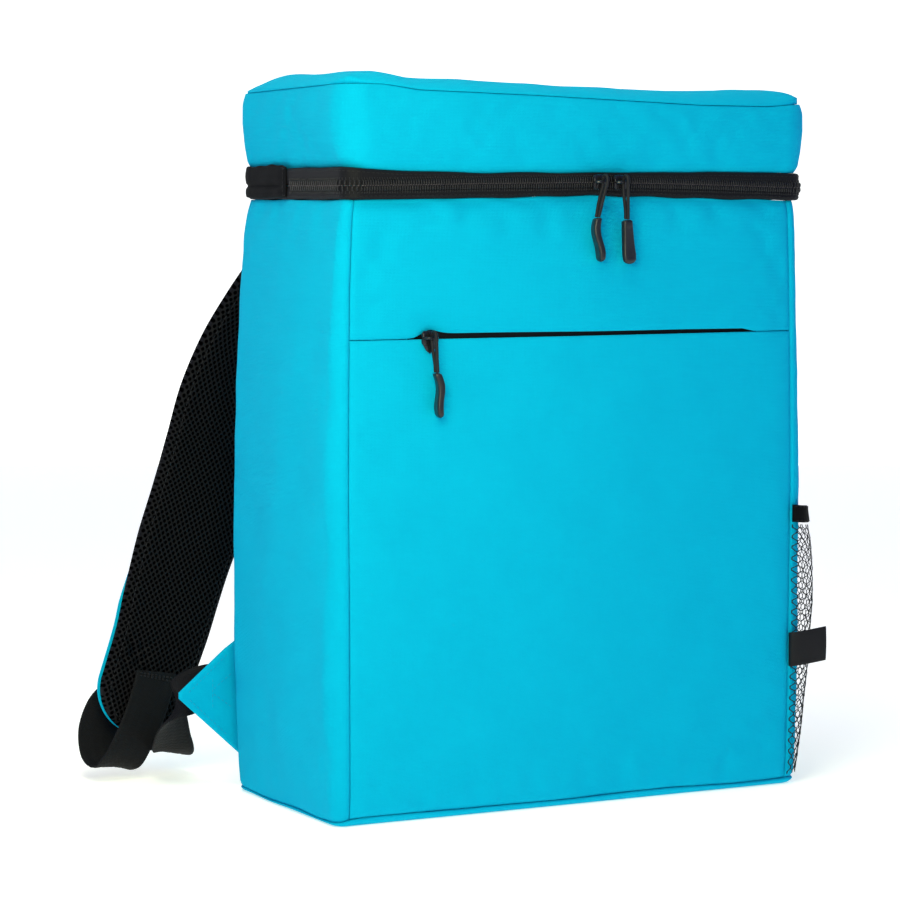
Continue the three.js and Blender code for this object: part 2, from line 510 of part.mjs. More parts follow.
// Half width shrinks to a round tongue at the lower end.
function strapHalf(frame, extra) {
  const half = frame.row.width / 2;
  const reach = STRAP.tongue;
  if (frame.left >= reach) return half + extra;
  const t = 1 - frame.left / reach;
  return Math.max(1.5, half * Math.sqrt(Math.max(0, 1 - t * t))) + extra;
}
const strapSteps = [...spread(0, strapLength - 26, 20), ...[19, 12, 7, 3.2, 1, 0.15].map((d) => strapLength - d)];
const placed = (frame, w, n) => frame.p.clone().addScaledVector(frame.W, w).addScaledVector(frame.N, n);
for (const [label, side] of [['left', 1], ['right', -1]]) {
  const frames = sweepFrames(STRAP_ROWS, strapSteps, () => vec(1, 0, 0));
  const pad = STRAP.pad / 2;
  const cover = -pad - 0.5;
  // Rows across the strap: share of the half width and how far the face has
  // rounded off there.
  const across = [{ w: -1, soft: 0.8 }, { w: -0.88, soft: 0.12 }, { w: 0, soft: 0 }, { w: 0.88, soft: 0.12 }, { w: 1, soft: 0.8 }];
  const grid = (extra, level) => frames.map((frame) => across.map(({ w, soft }) => (
    mirror(side)(placed(frame, w * strapHalf(frame, extra), level(soft))))));
  piece(`strap_pad_${label}`, slab(grid(0, (soft) => pad * (1 - soft)), grid(0, () => -pad)), BLACK_CLOTH);
  piece(`strap_cover_${label}`, slab(grid(STRAP.coverExtra, (soft) => cover),
    grid(STRAP.coverExtra, (soft) => cover - STRAP.cover * (1 - 0.5 * soft))), CLOTH);

  // Cloth triangle sewn in the back seam near the base.
  const tabEnd = TAB_ROWS.map(({ x, y, low, high }) => [low, high].map((z) => [mirror(side)(vec(x, y + TAB_THICK, z)), mirror(side)(vec(x, y, z))]));
  piece(`strap_tab_${label}`, slab(tabEnd.map((row) => row.map(([outer]) => outer)), tabEnd.map((row) => row.map(([, inner]) => inner))), CLOTH);

  const half = WEBBING.thick / 2;
  const ribbon = (rows, width, count) => {
    const probe = new THREE.CatmullRomCurve3(rows.map((r) => vec(r.x, r.y, r.z)), false, 'centripetal').getLength();
    const ends = sweepFrames(rows, spread(0.01, probe - 0.01, count), (r) => vec(r.wx, r.wy, r.wz));
    const face = (level) => ends.map((frame) => [-1, 0, 1].map((w) => mirror(side)(placed(frame, (w * width) / 2, level))));
    return slab(face(half), face(-half));
  };
  piece(`webbing_loop_${label}`, ribbon(LOOP_ROWS, WEBBING.width, 22), BLACK_CLOTH);
  piece(`webbing_adjuster_${label}`, ribbon(ADJUST_ROWS, WEBBING.width - 1, 22), BLACK_CLOTH);

  // Three-bar ladder lock between the two webbings.
  const lock = new THREE.Shape();
  const w = LOCK.width / 2;
  const h = LOCK.height / 2;
  lock.moveTo(-w + 3, -h).lineTo(w - 3, -h).lineTo(w, -h + 3).lineTo(w, h - 3).lineTo(w - 3, h)
    .lineTo(-w + 3, h).lineTo(-w, h - 3).lineTo(-w, -h + 3).lineTo(-w + 3, -h);
  for (const [low, high] of [[-12, -7], [-2.5, 2.5], [7, 12]]) {
    const slot = new THREE.Path();
    slot.moveTo(-w + 2.6, low).lineTo(-w + 2.6, high).lineTo(w - 2.6, high).lineTo(w - 2.6, low).lineTo(-w + 2.6, low);
    lock.holes.push(slot);
  }
  const lockMesh = piece(`ladder_lock_${label}`, new THREE.ExtrudeGeometry(lock, { depth: LOCK.thick, bevelEnabled: false }), BLACK_PLASTIC);
  lockMesh.position.set(side * LOCK.x, LOCK.y + LOCK.thick, LOCK.z);
  lockMesh.rotation.x = Math.PI / 2;
}

// ------------------------------------------------------------ sliders, pulls
const toManifold = (geometry) => {
  const plain = geometry.index ? geometry.clone() : geometry.clone();
  plain.deleteAttribute('normal');
  plain.deleteAttribute('uv');
  const merged = mergeVertices(plain, 1e-4);
  return new wasm.Manifold(new wasm.Mesh({
    numProp: 3,
    vertProperties: Float32Array.from(merged.attributes.position.array),
    triVerts: Uint32Array.from(merged.index.array),
  }));
};
const fromManifold = (solid) => {
  const mesh = solid.getMesh();
  const geometry = new THREE.BufferGeometry();
  geometry.setAttribute('position', new THREE.BufferAttribute(mesh.vertProperties, 3));
  geometry.setIndex(new THREE.BufferAttribute(mesh.triVerts, 1));
  geometry.computeVertexNormals();
  return geometry;
};

// Slider in its own frame: x along the zip, z up the band, -y outward.
function sliderGeometry() {
  const body = new THREE.Shape();
  body.moveTo(-4.2, -2.6).lineTo(-3.2, -3.5).lineTo(2.6, -3.1).lineTo(4.3, -1.5)
    .lineTo(4.3, 1.5).lineTo(2.6, 3.1).lineTo(-3.2, 3.5).lineTo(-4.2, 2.6).lineTo(-4.2, -2.6);
  const plate = new THREE.ExtrudeGeometry(body, { depth: 1.5, bevelEnabled: true, bevelThickness: 0.35, bevelSize: 0.35, bevelSegments: 1 });
  plate.rotateX(Math.PI / 2);
  plate.translate(0, -0.35, 0);
  const arch = new THREE.Shape();
  arch.moveTo(-3.9, 0).lineTo(-3.5, -3.3).lineTo(-2.2, -4.4).lineTo(2.2, -4.4).lineTo(3.5, -3.3).lineTo(3.9, 0)
    .lineTo(2.6, 0).lineTo(2.3, -2.6).lineTo(1.6, -3.2).lineTo(-1.6, -3.2).lineTo(-2.3, -2.6).lineTo(-2.6, 0).lineTo(-3.9, 0);
  const bail = new THREE.ExtrudeGeometry(arch, { depth: 2.4, bevelEnabled: false });
  bail.translate(0, -1.8, -1.2);
  return fromManifold(toManifold(plate).add(toManifold(bail)));
}

function tube(points, radius, steps, sides = 8) {
  const section = new THREE.Shape(Array.from({ length: sides }, (_, i) => {
    const a = (2 * Math.PI * i) / sides;
    return new THREE.Vector2(radius * Math.cos(a), radius * Math.sin(a));
  }));
  const curve = new THREE.CatmullRomCurve3(points, false, 'centripetal');
  return new THREE.ExtrudeGeometry(section, { steps, extrudePath: curve, bevelEnabled: false });
}

function gripGeometry(bend) {
  return loft(GRIP_ROWS.map(({ h, width, depth }) => {
    const w = width / 2;
    const d = depth / 2;
    const c = Math.min(1.1, d * 0.5);
    const shift = bend * Math.sin((Math.PI * h) / 25);
    return [[-w, -d + c], [-w + c, -d], [w - c, -d], [w, -d + c], [w, d - c], [w - c, d], [-w + c, d], [-w, d - c]]
      .map(([x, y]) => vec(x, y + shift, -h));
  }));
}

// Each pull: slider place, lean of the cord at the grip, turn of the grip.
const coilFace = NECK.b + NECK.front + TAPE_OUT + 0.3 + COIL_OUT;
const PULLS = [
  { name: 'main_pull_a', slider: 'main_slider_a', x: 11.6, z: 345.2, face: coilFace + 0.35, dx: -4.6, drop: 19.6, out: 3.4, turn: 82, bend: 0.9, flip: 1 },
  { name: 'main_pull_b', slider: 'main_slider_b', x: 24.6, z: 345.0, face: coilFace + 0.35, dx: 0.9, drop: 20.7, out: 3.6, turn: 8, bend: 0.4, flip: -1 },
  { name: 'pocket_pull', slider: 'pocket_slider', x: -93.6, z: 261.8, face: 71.9, dx: 1.7, drop: 18.6, out: 3.4, turn: 80, bend: -1.0, flip: 1 },
];
for (const pull of PULLS) {
  const slider = piece(pull.slider, sliderGeometry(), BLACK_METAL);
  slider.position.set(pull.x, -pull.face, pull.z);
  slider.scale.set(1, 1, 1);
  // The cord passes under the bail and both its ends go into the grip.
  const at = (dx, out, dz) => vec(pull.x + dx, -(pull.face + 2.2 + out), pull.z + dz);
  const low = -pull.drop;
  piece(`${pull.name}_cord`, tube([
    at(pull.dx, pull.out - 1.25, low + 0.4), at(pull.dx * 0.8, pull.out - 1.3, low * 0.72), at(pull.dx * 0.35, 1.35, low * 0.36),
    at(0, 1.25, -1.6), at(0, 1.3, 1.4), at(0.1, 3.2, 3.6), at(0.1, 5.6, 2.6), at(0, 6.3, 0),
    at(pull.dx * 0.2, 6.0, -3), at(pull.dx * 0.62, pull.out + 1.7, low * 0.6), at(pull.dx, pull.out + 1.25, low + 0.4),
  ], CORD_R, 20), BLACK_CLOTH);
  const grip = piece(`${pull.name}_grip`, gripGeometry(pull.bend), BLACK_PLASTIC);
  const mid = at(pull.dx, pull.out, low);
  grip.position.copy(mid);
  grip.rotation.set(0, THREE.MathUtils.degToRad(pull.dx > 0 ? -5 : -5), THREE.MathUtils.degToRad(pull.turn), 'YZX');
}

export default bag;
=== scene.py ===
import math
import bpy
import numpy as np
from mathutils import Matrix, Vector


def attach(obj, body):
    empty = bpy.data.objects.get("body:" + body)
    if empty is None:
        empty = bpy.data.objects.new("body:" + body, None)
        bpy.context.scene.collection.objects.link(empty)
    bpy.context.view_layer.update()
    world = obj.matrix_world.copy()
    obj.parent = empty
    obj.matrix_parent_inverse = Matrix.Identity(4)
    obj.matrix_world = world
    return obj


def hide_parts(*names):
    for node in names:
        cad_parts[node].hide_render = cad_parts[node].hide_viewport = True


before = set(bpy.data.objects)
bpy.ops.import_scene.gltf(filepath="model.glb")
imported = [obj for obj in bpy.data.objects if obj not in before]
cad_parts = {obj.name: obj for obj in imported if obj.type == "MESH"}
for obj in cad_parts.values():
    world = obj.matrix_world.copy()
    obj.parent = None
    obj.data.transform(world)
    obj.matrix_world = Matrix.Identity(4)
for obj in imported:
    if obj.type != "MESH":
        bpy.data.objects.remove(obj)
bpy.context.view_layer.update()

MM = 0.001
PI = math.pi


def rows(names, *data):
    columns = np.array(data, float)
    return {n: columns[:, i] for i, n in enumerate(names.split())}


def at(table, key, value):
    return {n: np.interp(value, table[key], column) for n, column in table.items()}


# ------------------------------------------------------------------ the tables
GAP = 0.4
WALL = 4.5
FRONT_CLOTH = 1.9
POCKET_Z = 261.0
TAPE_IN, TAPE_OUT = 1.7, 3.0
NET_SAG = 5.5
WALL_ROWS = rows(
    "z cx a b rF rB front side back",
    [4, 0, 147.6, 67.6, 8.7, 13, .3, .3, .2], [16, 0, 148.6, 68.8, 9.6, 14, 1.0, 1.2, .8],
    [56, 0, 149.9, 69.6, 10.6, 14, 2.4, 2.2, 1.6], [116, 0, 150.5, 70.0, 11.0, 14, 3.5, 3.0, 2.2],
    [176, 0, 150.2, 70.0, 10.2, 14, 4.0, 3.0, 2.2], [236, 0, 148.4, 69.6, 9.0, 14, 3.4, 2.6, 1.8],
    [286, 0, 146.0, 69.0, 7.4, 14, 2.4, 2.0, 1.2], [316, .4, 144.2, 68.4, 6.6, 14, 1.5, 1.4, .8],
    [328, .8, 142.9, 67.7, 6.0, 14, 1.0, .9, .4], [338, 1.2, 141.2, 66.7, 5.8, 14, .5, .4, .2])
BAND_ROWS = rows(
    "x low coil high",
    [-140, 335.4, 343, 352.6], [-108, 335.8, 343.4, 350.9], [-60, 336.6, 344.2, 350],
    [12, 337.8, 345, 350.2], [80, 336.4, 343.8, 350.4], [140, 334.9, 342.2, 350.4])
NECK = dict(cx=3.0, a=141.5, b=67.0, rF=6.5, rB=14.0, front=.4, side=.3, back=.2)
LID_ROWS = rows("f cx a b r", [0, 4, 142.4, 68.6, 12], [.1, 4, 144.6, 70.3, 14], [.3, 4, 146.8, 71.4, 17],
                [.6, 4, 148.3, 71.9, 18], [.85, 4, 148.2, 71.3, 17], [1, 4, 146.8, 69.8, 15])
LID_WALL = 3.6
LID_SEAM = rows("x front back", [-146, 396.6, 394.2], [-118, 396.3, 394], [-98, 393.6, 393.4], [-25, 391.6, 392],
                [78, 387.6, 389.4], [123, 387.4, 388.6], [151, 389.4, 388.6])
LID_CROWN = rows("x rise", [-146, 8.2], [-130, 7.4], [-112, 6.9], [-60, 6.0], [0, 5.7], [60, 6.6], [110, 8.2], [140, 8.8], [151, 8.0])
NET_ROWS = rows("z out", [7, .6], [16, 2.2], [28, 4.8], [48, 9.5], [78, 15.5], [106, 19.5], [128, 18.5], [142, 14.5],
                [151.6, 9.6], [152, 9.4], [162, 7.6])
STRAP_ROWS = rows(
    "x y z width",
    [-66, 69.6, 327, 62], [-66, 82, 327, 63], [-68.5, 93, 324, 64], [-74, 106, 312, 65], [-83, 116, 290, 66],
    [-96, 125, 266, 66], [-107, 131.5, 244, 66], [-117, 137, 217, 66], [-124, 140.5, 190, 65], [-133, 141.5, 161, 64],
    [-145, 140.5, 131, 61], [-154.5, 138.5, 104, 58], [-163.5, 134.5, 80, 55], [-173, 131.5, 58, 53],
    [-182, 128.8, 38, 51], [-187, 127.5, 27, 50])
LOOP_ROWS = rows(
    "x y z wx wy wz",
    [-170, 128.6, 78, 1, 0, -.35], [-171, 125.7, 60, 1, 0, -.35], [-177, 122.8, 43, 1, 0, -.35],
    [-186, 119.6, 26, 1, .1, -.4], [-194, 120.0, 12.8, 1, .1, -.3], [-199, 127, 8.0, 1, .1, -.1],
    [-201, 137, 12.5, 1, .1, 0], [-200, 144, 25, 1, .1, 0], [-194, 147, 37, 1, 0, -.1],
    [-183, 148.2, 47, 1, 0, -.3], [-174, 148.4, 58, 1, 0, -.1])
ADJUST_ROWS = rows(
    "x y z wx wy wz",
    [-146, 77.2, 59, 0, 0, 1], [-160, 79.6, 58.4, 0, .02, 1], [-171, 87, 51, .1, .1, .95],
    [-173, 96, 38, .6, 0, .7], [-169, 108, 24, .9, 0, .2], [-162.5, 121.5, 14.5, 1, -.1, -.2],
    [-166, 137, 15.5, 1, 0, -.2], [-172, 149.5, 28, 1, 0, 0], [-171, 155.3, 46, 1, 0, 0], [-170, 156, 58, 1, 0, 0])
TAB_ROWS = rows("x y low high", [-178.5, 72.5, 53.2, 56.4], [-150, 72.5, 27, 80], [-138, 72.5, 16, 88], [-126, 70.6, 16, 88])
TAB_THICK = 2.4
LOCK = dict(x=-170, y=149.9, z=68, width=32, height=33, thick=4)
PAD, COVER, COVER_EXTRA, TONGUE = 7.6, 1.9, 1.3, 25.0
CORD_R = 0.95
GRIP_ROWS = rows("h width depth", [0, 5.4, 3.6], [.8, 6.6, 4.6], [6, 6.9, 4.9], [13, 7.8, 4.6], [20, 9.0, 4.5],
                 [23.4, 8.2, 4.1], [25, 5.2, 2.8])
COIL_FACE = 67.0 + .4 + 3.0 + .3 + .95
PULLS = [
    dict(name="main_pull_a", slider="main_slider_a", x=11.6, z=345.2, face=COIL_FACE + .35, dx=-4.6, drop=19.6, out=3.4, turn=82, bend=.9),
    dict(name="main_pull_b", slider="main_slider_b", x=24.6, z=345.0, face=COIL_FACE + .35, dx=.9, drop=20.7, out=3.6, turn=8, bend=.4),
    dict(name="pocket_pull", slider="pocket_slider", x=-93.6, z=261.8, face=71.9, dx=1.7, drop=18.6, out=3.4, turn=80, bend=-1.0),
]
# Soft folds of the cloth: middle, direction, half length and width, depth.
FRONT_FOLDS = rows(
    "u z angle length width depth",
    [78, 84, 52, 62, 13, 1.2], [104, 56, 48, 46, 11, 1.0], [40, 56, 60, 50, 15, .7], [-70, 308, 8, 46, 9, .8],
    [70, 302, -14, 52, 10, .9])
SIDE_FOLDS = rows("u z angle length width depth", [-10, 314, 20, 36, 9, 1.0], [15, 56, 62, 44, 12, .9])

# ------------------------------------------------------------------- materials


def node(nt, kind, *inputs, **props):
    n = nt.nodes.new(kind)
    for key, value in props.items():
        setattr(n, key, value)
    for i, value in enumerate(inputs):
        if value is None:
            continue
        if isinstance(value, bpy.types.NodeSocket):
            nt.links.new(value, n.inputs[i])
        else:
            n.inputs[i].default_value = value
    return n


def calc(nt, op, a, b=None, c=None):
    return node(nt, "ShaderNodeMath", a, b, c, operation=op).outputs[0]


def material(name, color, rough, metal=0.0, spec=0.3, sheen=0.0):
    m = bpy.data.materials.new(name)
    m.use_nodes = True
    nt = m.node_tree
    nt.nodes.clear()
    out = nt.nodes.new("ShaderNodeOutputMaterial")
    b = nt.nodes.new("ShaderNodeBsdfPrincipled")
    nt.links.new(b.outputs[0], out.inputs[0])
    b.inputs["Base Color"].default_value = (*color, 1)
    b.inputs["Roughness"].default_value = rough
    b.inputs["Metallic"].default_value = metal
    b.inputs["Specular IOR Level"].default_value = spec
    b.inputs["Sheen Weight"].default_value = sheen
    b.inputs["Sheen Roughness"].default_value = 0.45
    b.inputs["Sheen Tint"].default_value = (.75, .95, 1, 1)
    return m, nt, b


def uv_mm(nt):
    return node(nt, "ShaderNodeSeparateXYZ", node(nt, "ShaderNodeUVMap", uv_map="weave").outputs[0]).outputs


def weave_height(nt, pitch_u, pitch_v):
    """Height of a plain weave from 0 to 1 over the weave map in millimetres."""
    u, v, _ = uv_mm(nt)
    su = calc(nt, "SINE", calc(nt, "MULTIPLY", u, PI / pitch_u))
    sv = calc(nt, "SINE", calc(nt, "MULTIPLY", v, PI / pitch_v))
    a, b = calc(nt, "ABSOLUTE", su), calc(nt, "ABSOLUTE", sv)
    warp = calc(nt, "MULTIPLY", a, calc(nt, "MULTIPLY_ADD", b, .45, .55))
    weft = calc(nt, "MULTIPLY", b, calc(nt, "MULTIPLY_ADD", a, .45, .55))
    over = calc(nt, "GREATER_THAN", calc(nt, "MULTIPLY", su, sv), 0.0)
    both = calc(nt, "SUBTRACT", warp, weft)
    return calc(nt, "MULTIPLY_ADD", both, over, weft)


def bump(nt, bsdf, height, distance, strength=1.0):
    n = node(nt, "ShaderNodeBump", strength, distance, None, height) if False else nt.nodes.new("ShaderNodeBump")
    n.inputs["Strength"].default_value = strength
    n.inputs["Distance"].default_value = distance
    nt.links.new(height, n.inputs["Height"])
    nt.links.new(n.outputs[0], bsdf.inputs["Normal"])


def tone(nt, bsdf, dark, light, factor):
    mix = nt.nodes.new("ShaderNodeMix")
    mix.data_type = "RGBA"
    mix.inputs["A"].default_value = (*dark, 1)
    mix.inputs["B"].default_value = (*light, 1)
    nt.links.new(factor, mix.inputs["Factor"])
    nt.links.new(mix.outputs["Result"], bsdf.inputs["Base Color"])


def fibre_noise(nt, scale_u, scale_v, detail=2.0):
    u, v, _ = uv_mm(nt)
    vec = node(nt, "ShaderNodeCombineXYZ", calc(nt, "MULTIPLY", u, scale_u), calc(nt, "MULTIPLY", v, scale_v)).outputs[0]
    n = nt.nodes.new("ShaderNodeTexNoise")
    n.inputs["Scale"].default_value = 1.0
    n.inputs["Detail"].default_value = detail
    nt.links.new(vec, n.inputs["Vector"])
    return n.outputs["Fac"] if "Fac" in n.outputs else n.outputs[0]


def cloth_material(name, dark, light, pitch, depth, rough=.82, spec=.18, sheen=0.0, slub=.3):
    m, nt, b = material(name, light, rough, 0, spec, sheen)
    h = weave_height(nt, pitch, pitch)
    across = fibre_noise(nt, .05, 1.6)
    along = fibre_noise(nt, 1.6, .05)
    cloud = fibre_noise(nt, .035, .035, 3.0)
    # Colour: the weave height paints the valleys between threads darker and their crowns lighter, a painted shade; the
    # slub and cloud noise are random yarn tone.
    mix = calc(nt, "MULTIPLY_ADD", h, .45, calc(nt, "MULTIPLY", calc(nt, "ADD", across, along), slub))
    fac = calc(nt, "MULTIPLY_ADD", cloud, .5, calc(nt, "MULTIPLY", mix, .62))
    tone(nt, b, dark, light, calc(nt, "MINIMUM", fac, 1.0))
    bump(nt, b, calc(nt, "ADD", h, calc(nt, "MULTIPLY", calc(nt, "ADD", across, along), .35)), depth)
    return m


CYAN = cloth_material("cyan_polyester", (.0010, .425, .665), (.0018, .54, .785), .78, .00016, .85, .02, .015)
BLACK_WEAVE = cloth_material("black_polyester_tape", (.0012, .0013, .0017), (.0050, .0054, .0066), .7, .00014, .7, .07)
LABEL_WEAVE = cloth_material("black_label_satin", (.003, .003, .0036), (.007, .007, .0085), .42, .00006, .5, .22)


def webbing_material():
    m, nt, b = material("black_webbing", (.006, .006, .007), .62, 0, .14, 0)
    u, v, _ = uv_mm(nt)
    # Herringbone: slanted ribs that change side every few millimetres across.
    side = calc(nt, "PINGPONG", u, 3.1)
    rib = calc(nt, "ABSOLUTE", calc(nt, "SINE", calc(nt, "MULTIPLY", calc(nt, "ADD", v, side), PI / 1.25)))
    fine = fibre_noise(nt, 3.0, 1.2)
    h = calc(nt, "MULTIPLY_ADD", rib, .8, calc(nt, "MULTIPLY", fine, .3))
    # The colour follows the ribs: grooves painted darker as shade and crowns lighter as painted light; the fine noise
    # adds random yarn tone.
    tone(nt, b, (.0016, .0016, .002), (.0085, .0087, .0098), calc(nt, "MULTIPLY", h, .8))
    bump(nt, b, h, .00018)
    return m


def tape_material():
    m, nt, b = material("zip_tape", (.006, .006, .007), .62, 0, .15, 0)
    u, v, _ = uv_mm(nt)
    ribs = calc(nt, "ABSOLUTE", calc(nt, "SINE", calc(nt, "MULTIPLY", u, PI / .8)))
    twill = calc(nt, "ABSOLUTE", calc(nt, "SINE", calc(nt, "MULTIPLY", calc(nt, "ADD", v, calc(nt, "MULTIPLY", u, .5)), PI / .7)))
    h = calc(nt, "MULTIPLY_ADD", ribs, .5, calc(nt, "MULTIPLY", twill, .4))
    # The colour follows the ribs and twill: grooves painted darker as shade, crowns lighter.
    tone(nt, b, (.0022, .0024, .003), (.010, .0108, .0135), calc(nt, "MULTIPLY", h, .8))
    bump(nt, b, h, .00014)
    return m


def object_noise(nt, scale, detail=3.0):
    n = nt.nodes.new("ShaderNodeTexNoise")
    n.inputs["Scale"].default_value = scale
    n.inputs["Detail"].default_value = detail
    nt.links.new(node(nt, "ShaderNodeTexCoord").outputs["Object"], n.inputs["Vector"])
    return n.outputs[0]


def plain_material(name, dark, light, rough, metal=0.0, spec=.4, scale=900.0, depth=.00003):
    m, nt, b = material(name, light, rough, metal, spec)
    grain = object_noise(nt, scale)
    tone(nt, b, dark, light, object_noise(nt, 140.0, 2.0))
    bump(nt, b, grain, depth)
    ramp = calc(nt, "MULTIPLY_ADD", object_noise(nt, 260.0), .22, rough - .11)
    nt.links.new(ramp, b.inputs["Roughness"])
    return m


WEBBING = webbing_material()
TAPE = tape_material()
NET = plain_material("net_yarn", (.004, .0055, .006), (.010, .0125, .013), .62, 0, .18, 2400.0, .00005)
HOLE_U, HOLE_V = 3.3, 4.4


def spacer_material():
    m, nt, b = material("spacer_net", (.006, .006, .007), .6, 0, .16)
    u, v, _ = uv_mm(nt)

    def near(shift):
        # distance from the nearest hole of one of the two sets of holes
        x = calc(nt, "SUBTRACT", calc(nt, "PINGPONG", calc(nt, "ADD", u, 330.0 + HOLE_U / 2 + shift * HOLE_U / 2), HOLE_U / 2), HOLE_U / 2)
        y = calc(nt, "SUBTRACT", calc(nt, "PINGPONG", calc(nt, "ADD", v, HOLE_V / 2 + shift * HOLE_V / 2), HOLE_V / 2), HOLE_V / 2)
        x, y = calc(nt, "MULTIPLY", x, 1.05), calc(nt, "MULTIPLY", y, .82)
        return calc(nt, "SQRT", calc(nt, "ADD", calc(nt, "MULTIPLY", x, x), calc(nt, "MULTIPLY", y, y)))
    d = calc(nt, "MINIMUM", near(0), near(1))
    # The holes are painted near black, a painted shade in the openings; the strands between them take the lighter tone
    # with random grain.
    solid = node(nt, "ShaderNodeMapRange", d, .62, 1.15, 0.0, 1.0, interpolation_type="SMOOTHSTEP").outputs[0]
    grain = fibre_noise(nt, 2.6, 2.6)
    tone(nt, b, (.0003, .0003, .0004), (.0075, .0075, .0085), calc(nt, "MULTIPLY", solid, calc(nt, "MULTIPLY_ADD", grain, .9, .3)))
    bump(nt, b, calc(nt, "MULTIPLY_ADD", grain, .4, solid), .0002)
    nt.links.new(calc(nt, "MULTIPLY", solid, .11), b.inputs["Specular IOR Level"])
    return m


SPACER = spacer_material()
PLASTIC = plain_material("black_plastic", (.005, .005, .006), (.010, .010, .011), .36, 0, .35)
GRIP = plain_material("moulded_grip", (.006, .007, .0085), (.016, .0165, .019), .36, 0, .42, 1300.0, .00004)
METAL = plain_material("black_metal", (.008, .008, .010), (.02, .02, .023), .2, .35, .6, 1200.0, .00001)
COIL = plain_material("zip_coil", (.004, .0044, .0055), (.012, .013, .016), .3, 0, .34)
# light grey for a painted highlight along the middle of the zip coil
ZIP_MIDDLE_HIGHLIGHT = plain_material("zip_centre_painted_highlight", (.07, .06, .065), (.15, .13, .135), .7, 0, .3)
CORD = plain_material("pull_cord_braid", (.004, .0042, .005), (.014, .0145, .017), .55, 0, .25, 2600.0, .0001)
THREAD = plain_material("black_thread", (.005, .005, .006), (.015, .015, .017), .55, 0, .25)
CYAN_THREAD = plain_material("cyan_thread", (.002, .33, .56), (.004, .46, .72), .6, 0, .3)
FOIL = plain_material("lining", (.45, .46, .47), (.62, .63, .64), .4, .3, .5)

# -------------------------------------------------------------- mesh building
ALL = {}


def put(name, verts, faces, mat, uv=None, smooth=True, sharp=None, slot="cloth", nodes=()):
    mesh = bpy.data.meshes.new(name)
    verts = np.asarray(verts, float) * MM
    if isinstance(faces, np.ndarray):
        faces = faces.tolist()
    # signed volume, so that faces point out
    volume = 0.0
    origin = verts.mean(0)
    sample = faces if len(faces) < 4000 else faces
    quads = np.array([f for f in sample if len(f) == 4])
    tris = [np.array([f for f in sample if len(f) == 3])]
    if len(quads):
        tris += [quads[:, [0, 1, 2]], quads[:, [0, 2, 3]]]
    for f in sample:
        if len(f) > 4:
            f = np.array(f)
            tris.append(np.stack([np.full(len(f) - 2, f[0]), f[1:-1], f[2:]], 1))
    for t in tris:
        if len(t):
            p = verts[t.astype(int)] - origin
            volume += float(np.einsum("ij,ij->i", p[:, 0], np.cross(p[:, 1], p[:, 2])).sum())
    if volume < 0:
        faces = [f[::-1] for f in faces]
    mesh.from_pydata(verts.tolist(), [], faces)
    if uv is not None:
        layer = mesh.uv_layers.new(name="weave")
        loops = np.empty(len(mesh.loops), np.int32)
        mesh.loops.foreach_get("vertex_index", loops)
        layer.data.foreach_set("uv", np.asarray(uv, np.float32)[loops].ravel())
    mesh.polygons.foreach_set("use_smooth", np.full(len(mesh.polygons), smooth))
    if sharp is not None:
        mesh.set_sharp_from_angle(angle=math.radians(sharp))
    mesh.materials.append(mat)
    mesh.update()
    ob = bpy.data.objects.new(name, mesh)
    bpy.context.scene.collection.objects.link(ob)
    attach(ob, "root")
    if nodes:
        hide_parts(*nodes)
    ALL[name] = ob
    return ob


def grid_faces(J, I, ring=False):
    idx = np.arange(J * I).reshape(J, I)
    a = idx if ring else idx[:-1]
    b = np.roll(idx, -1, 0) if ring else idx[1:]
    top = np.stack([a[:, :-1], b[:, :-1], b[:, 1:], a[:, 1:]], -1).reshape(-1, 4)
    return idx, a, b, top


def slab(name, outer, inner, mat, uv, ring=False, sharp=None, **kw):
    """Closed sheet between two grids of points of shape (J, I, 3)."""
    J, I = outer.shape[:2]
    idx, a, b, top = grid_faces(J, I, ring)
    n = J * I
    parts = [top, top[:, ::-1] + n]
    parts.append(np.stack([a[:, 0] + n, b[:, 0] + n, b[:, 0], a[:, 0]], -1))
    parts.append(np.stack([a[:, -1], b[:, -1], b[:, -1] + n, a[:, -1] + n], -1))
    if not ring:
        parts.append(np.stack([idx[0, :-1] + n, idx[0, :-1], idx[0, 1:], idx[0, 1:] + n], -1))
        parts.append(np.stack([idx[-1, :-1], idx[-1, :-1] + n, idx[-1, 1:] + n, idx[-1, 1:]], -1))
    verts = np.concatenate([outer.reshape(-1, 3), inner.reshape(-1, 3)])
    uv = np.concatenate([uv.reshape(-1, 2)] * 2)
    return put(name, verts, np.concatenate(parts), mat, uv, sharp=sharp, **kw)


def loft(name, sections, mat, uv=None, ring=False, sharp=None, **kw):
    """Closed solid through closed sections of shape (S, K, 3)."""
    S, K = sections.shape[:2]
    idx = np.arange(S * K).reshape(S, K)
    nxt = np.roll(idx, -1, 1)
    a = idx if ring else idx[:-1]
    b = np.roll(idx, -1, 0) if ring else idx[1:]
    an = np.roll(a, -1, 1)
    bn = np.roll(b, -1, 1)
    faces = np.stack([a, an, bn, b], -1).reshape(-1, 4).tolist()
    if not ring:
        faces += [idx[0, ::-1].tolist(), idx[-1].tolist()]
    if uv is not None:
        uv = uv.reshape(-1, 2)
    return put(name, sections.reshape(-1, 3), faces, mat, uv, sharp=sharp, **kw)


def many(name, template, faces, origins, X, Y, Z, mat, **kw):
    """Copies of a small template: each has an origin and three axes."""
    t = np.asarray(template, float)
    verts = (origins[:, None] + t[None, :, 0:1] * X[:, None] + t[None, :, 1:2] * Y[:, None] + t[None, :, 2:3] * Z[:, None])
    n = len(t)
    all_faces = []
    for k in range(len(origins)):
        all_faces += [[i + k * n for i in f] for f in faces]
    return put(name, verts.reshape(-1, 3), all_faces, mat, **kw)


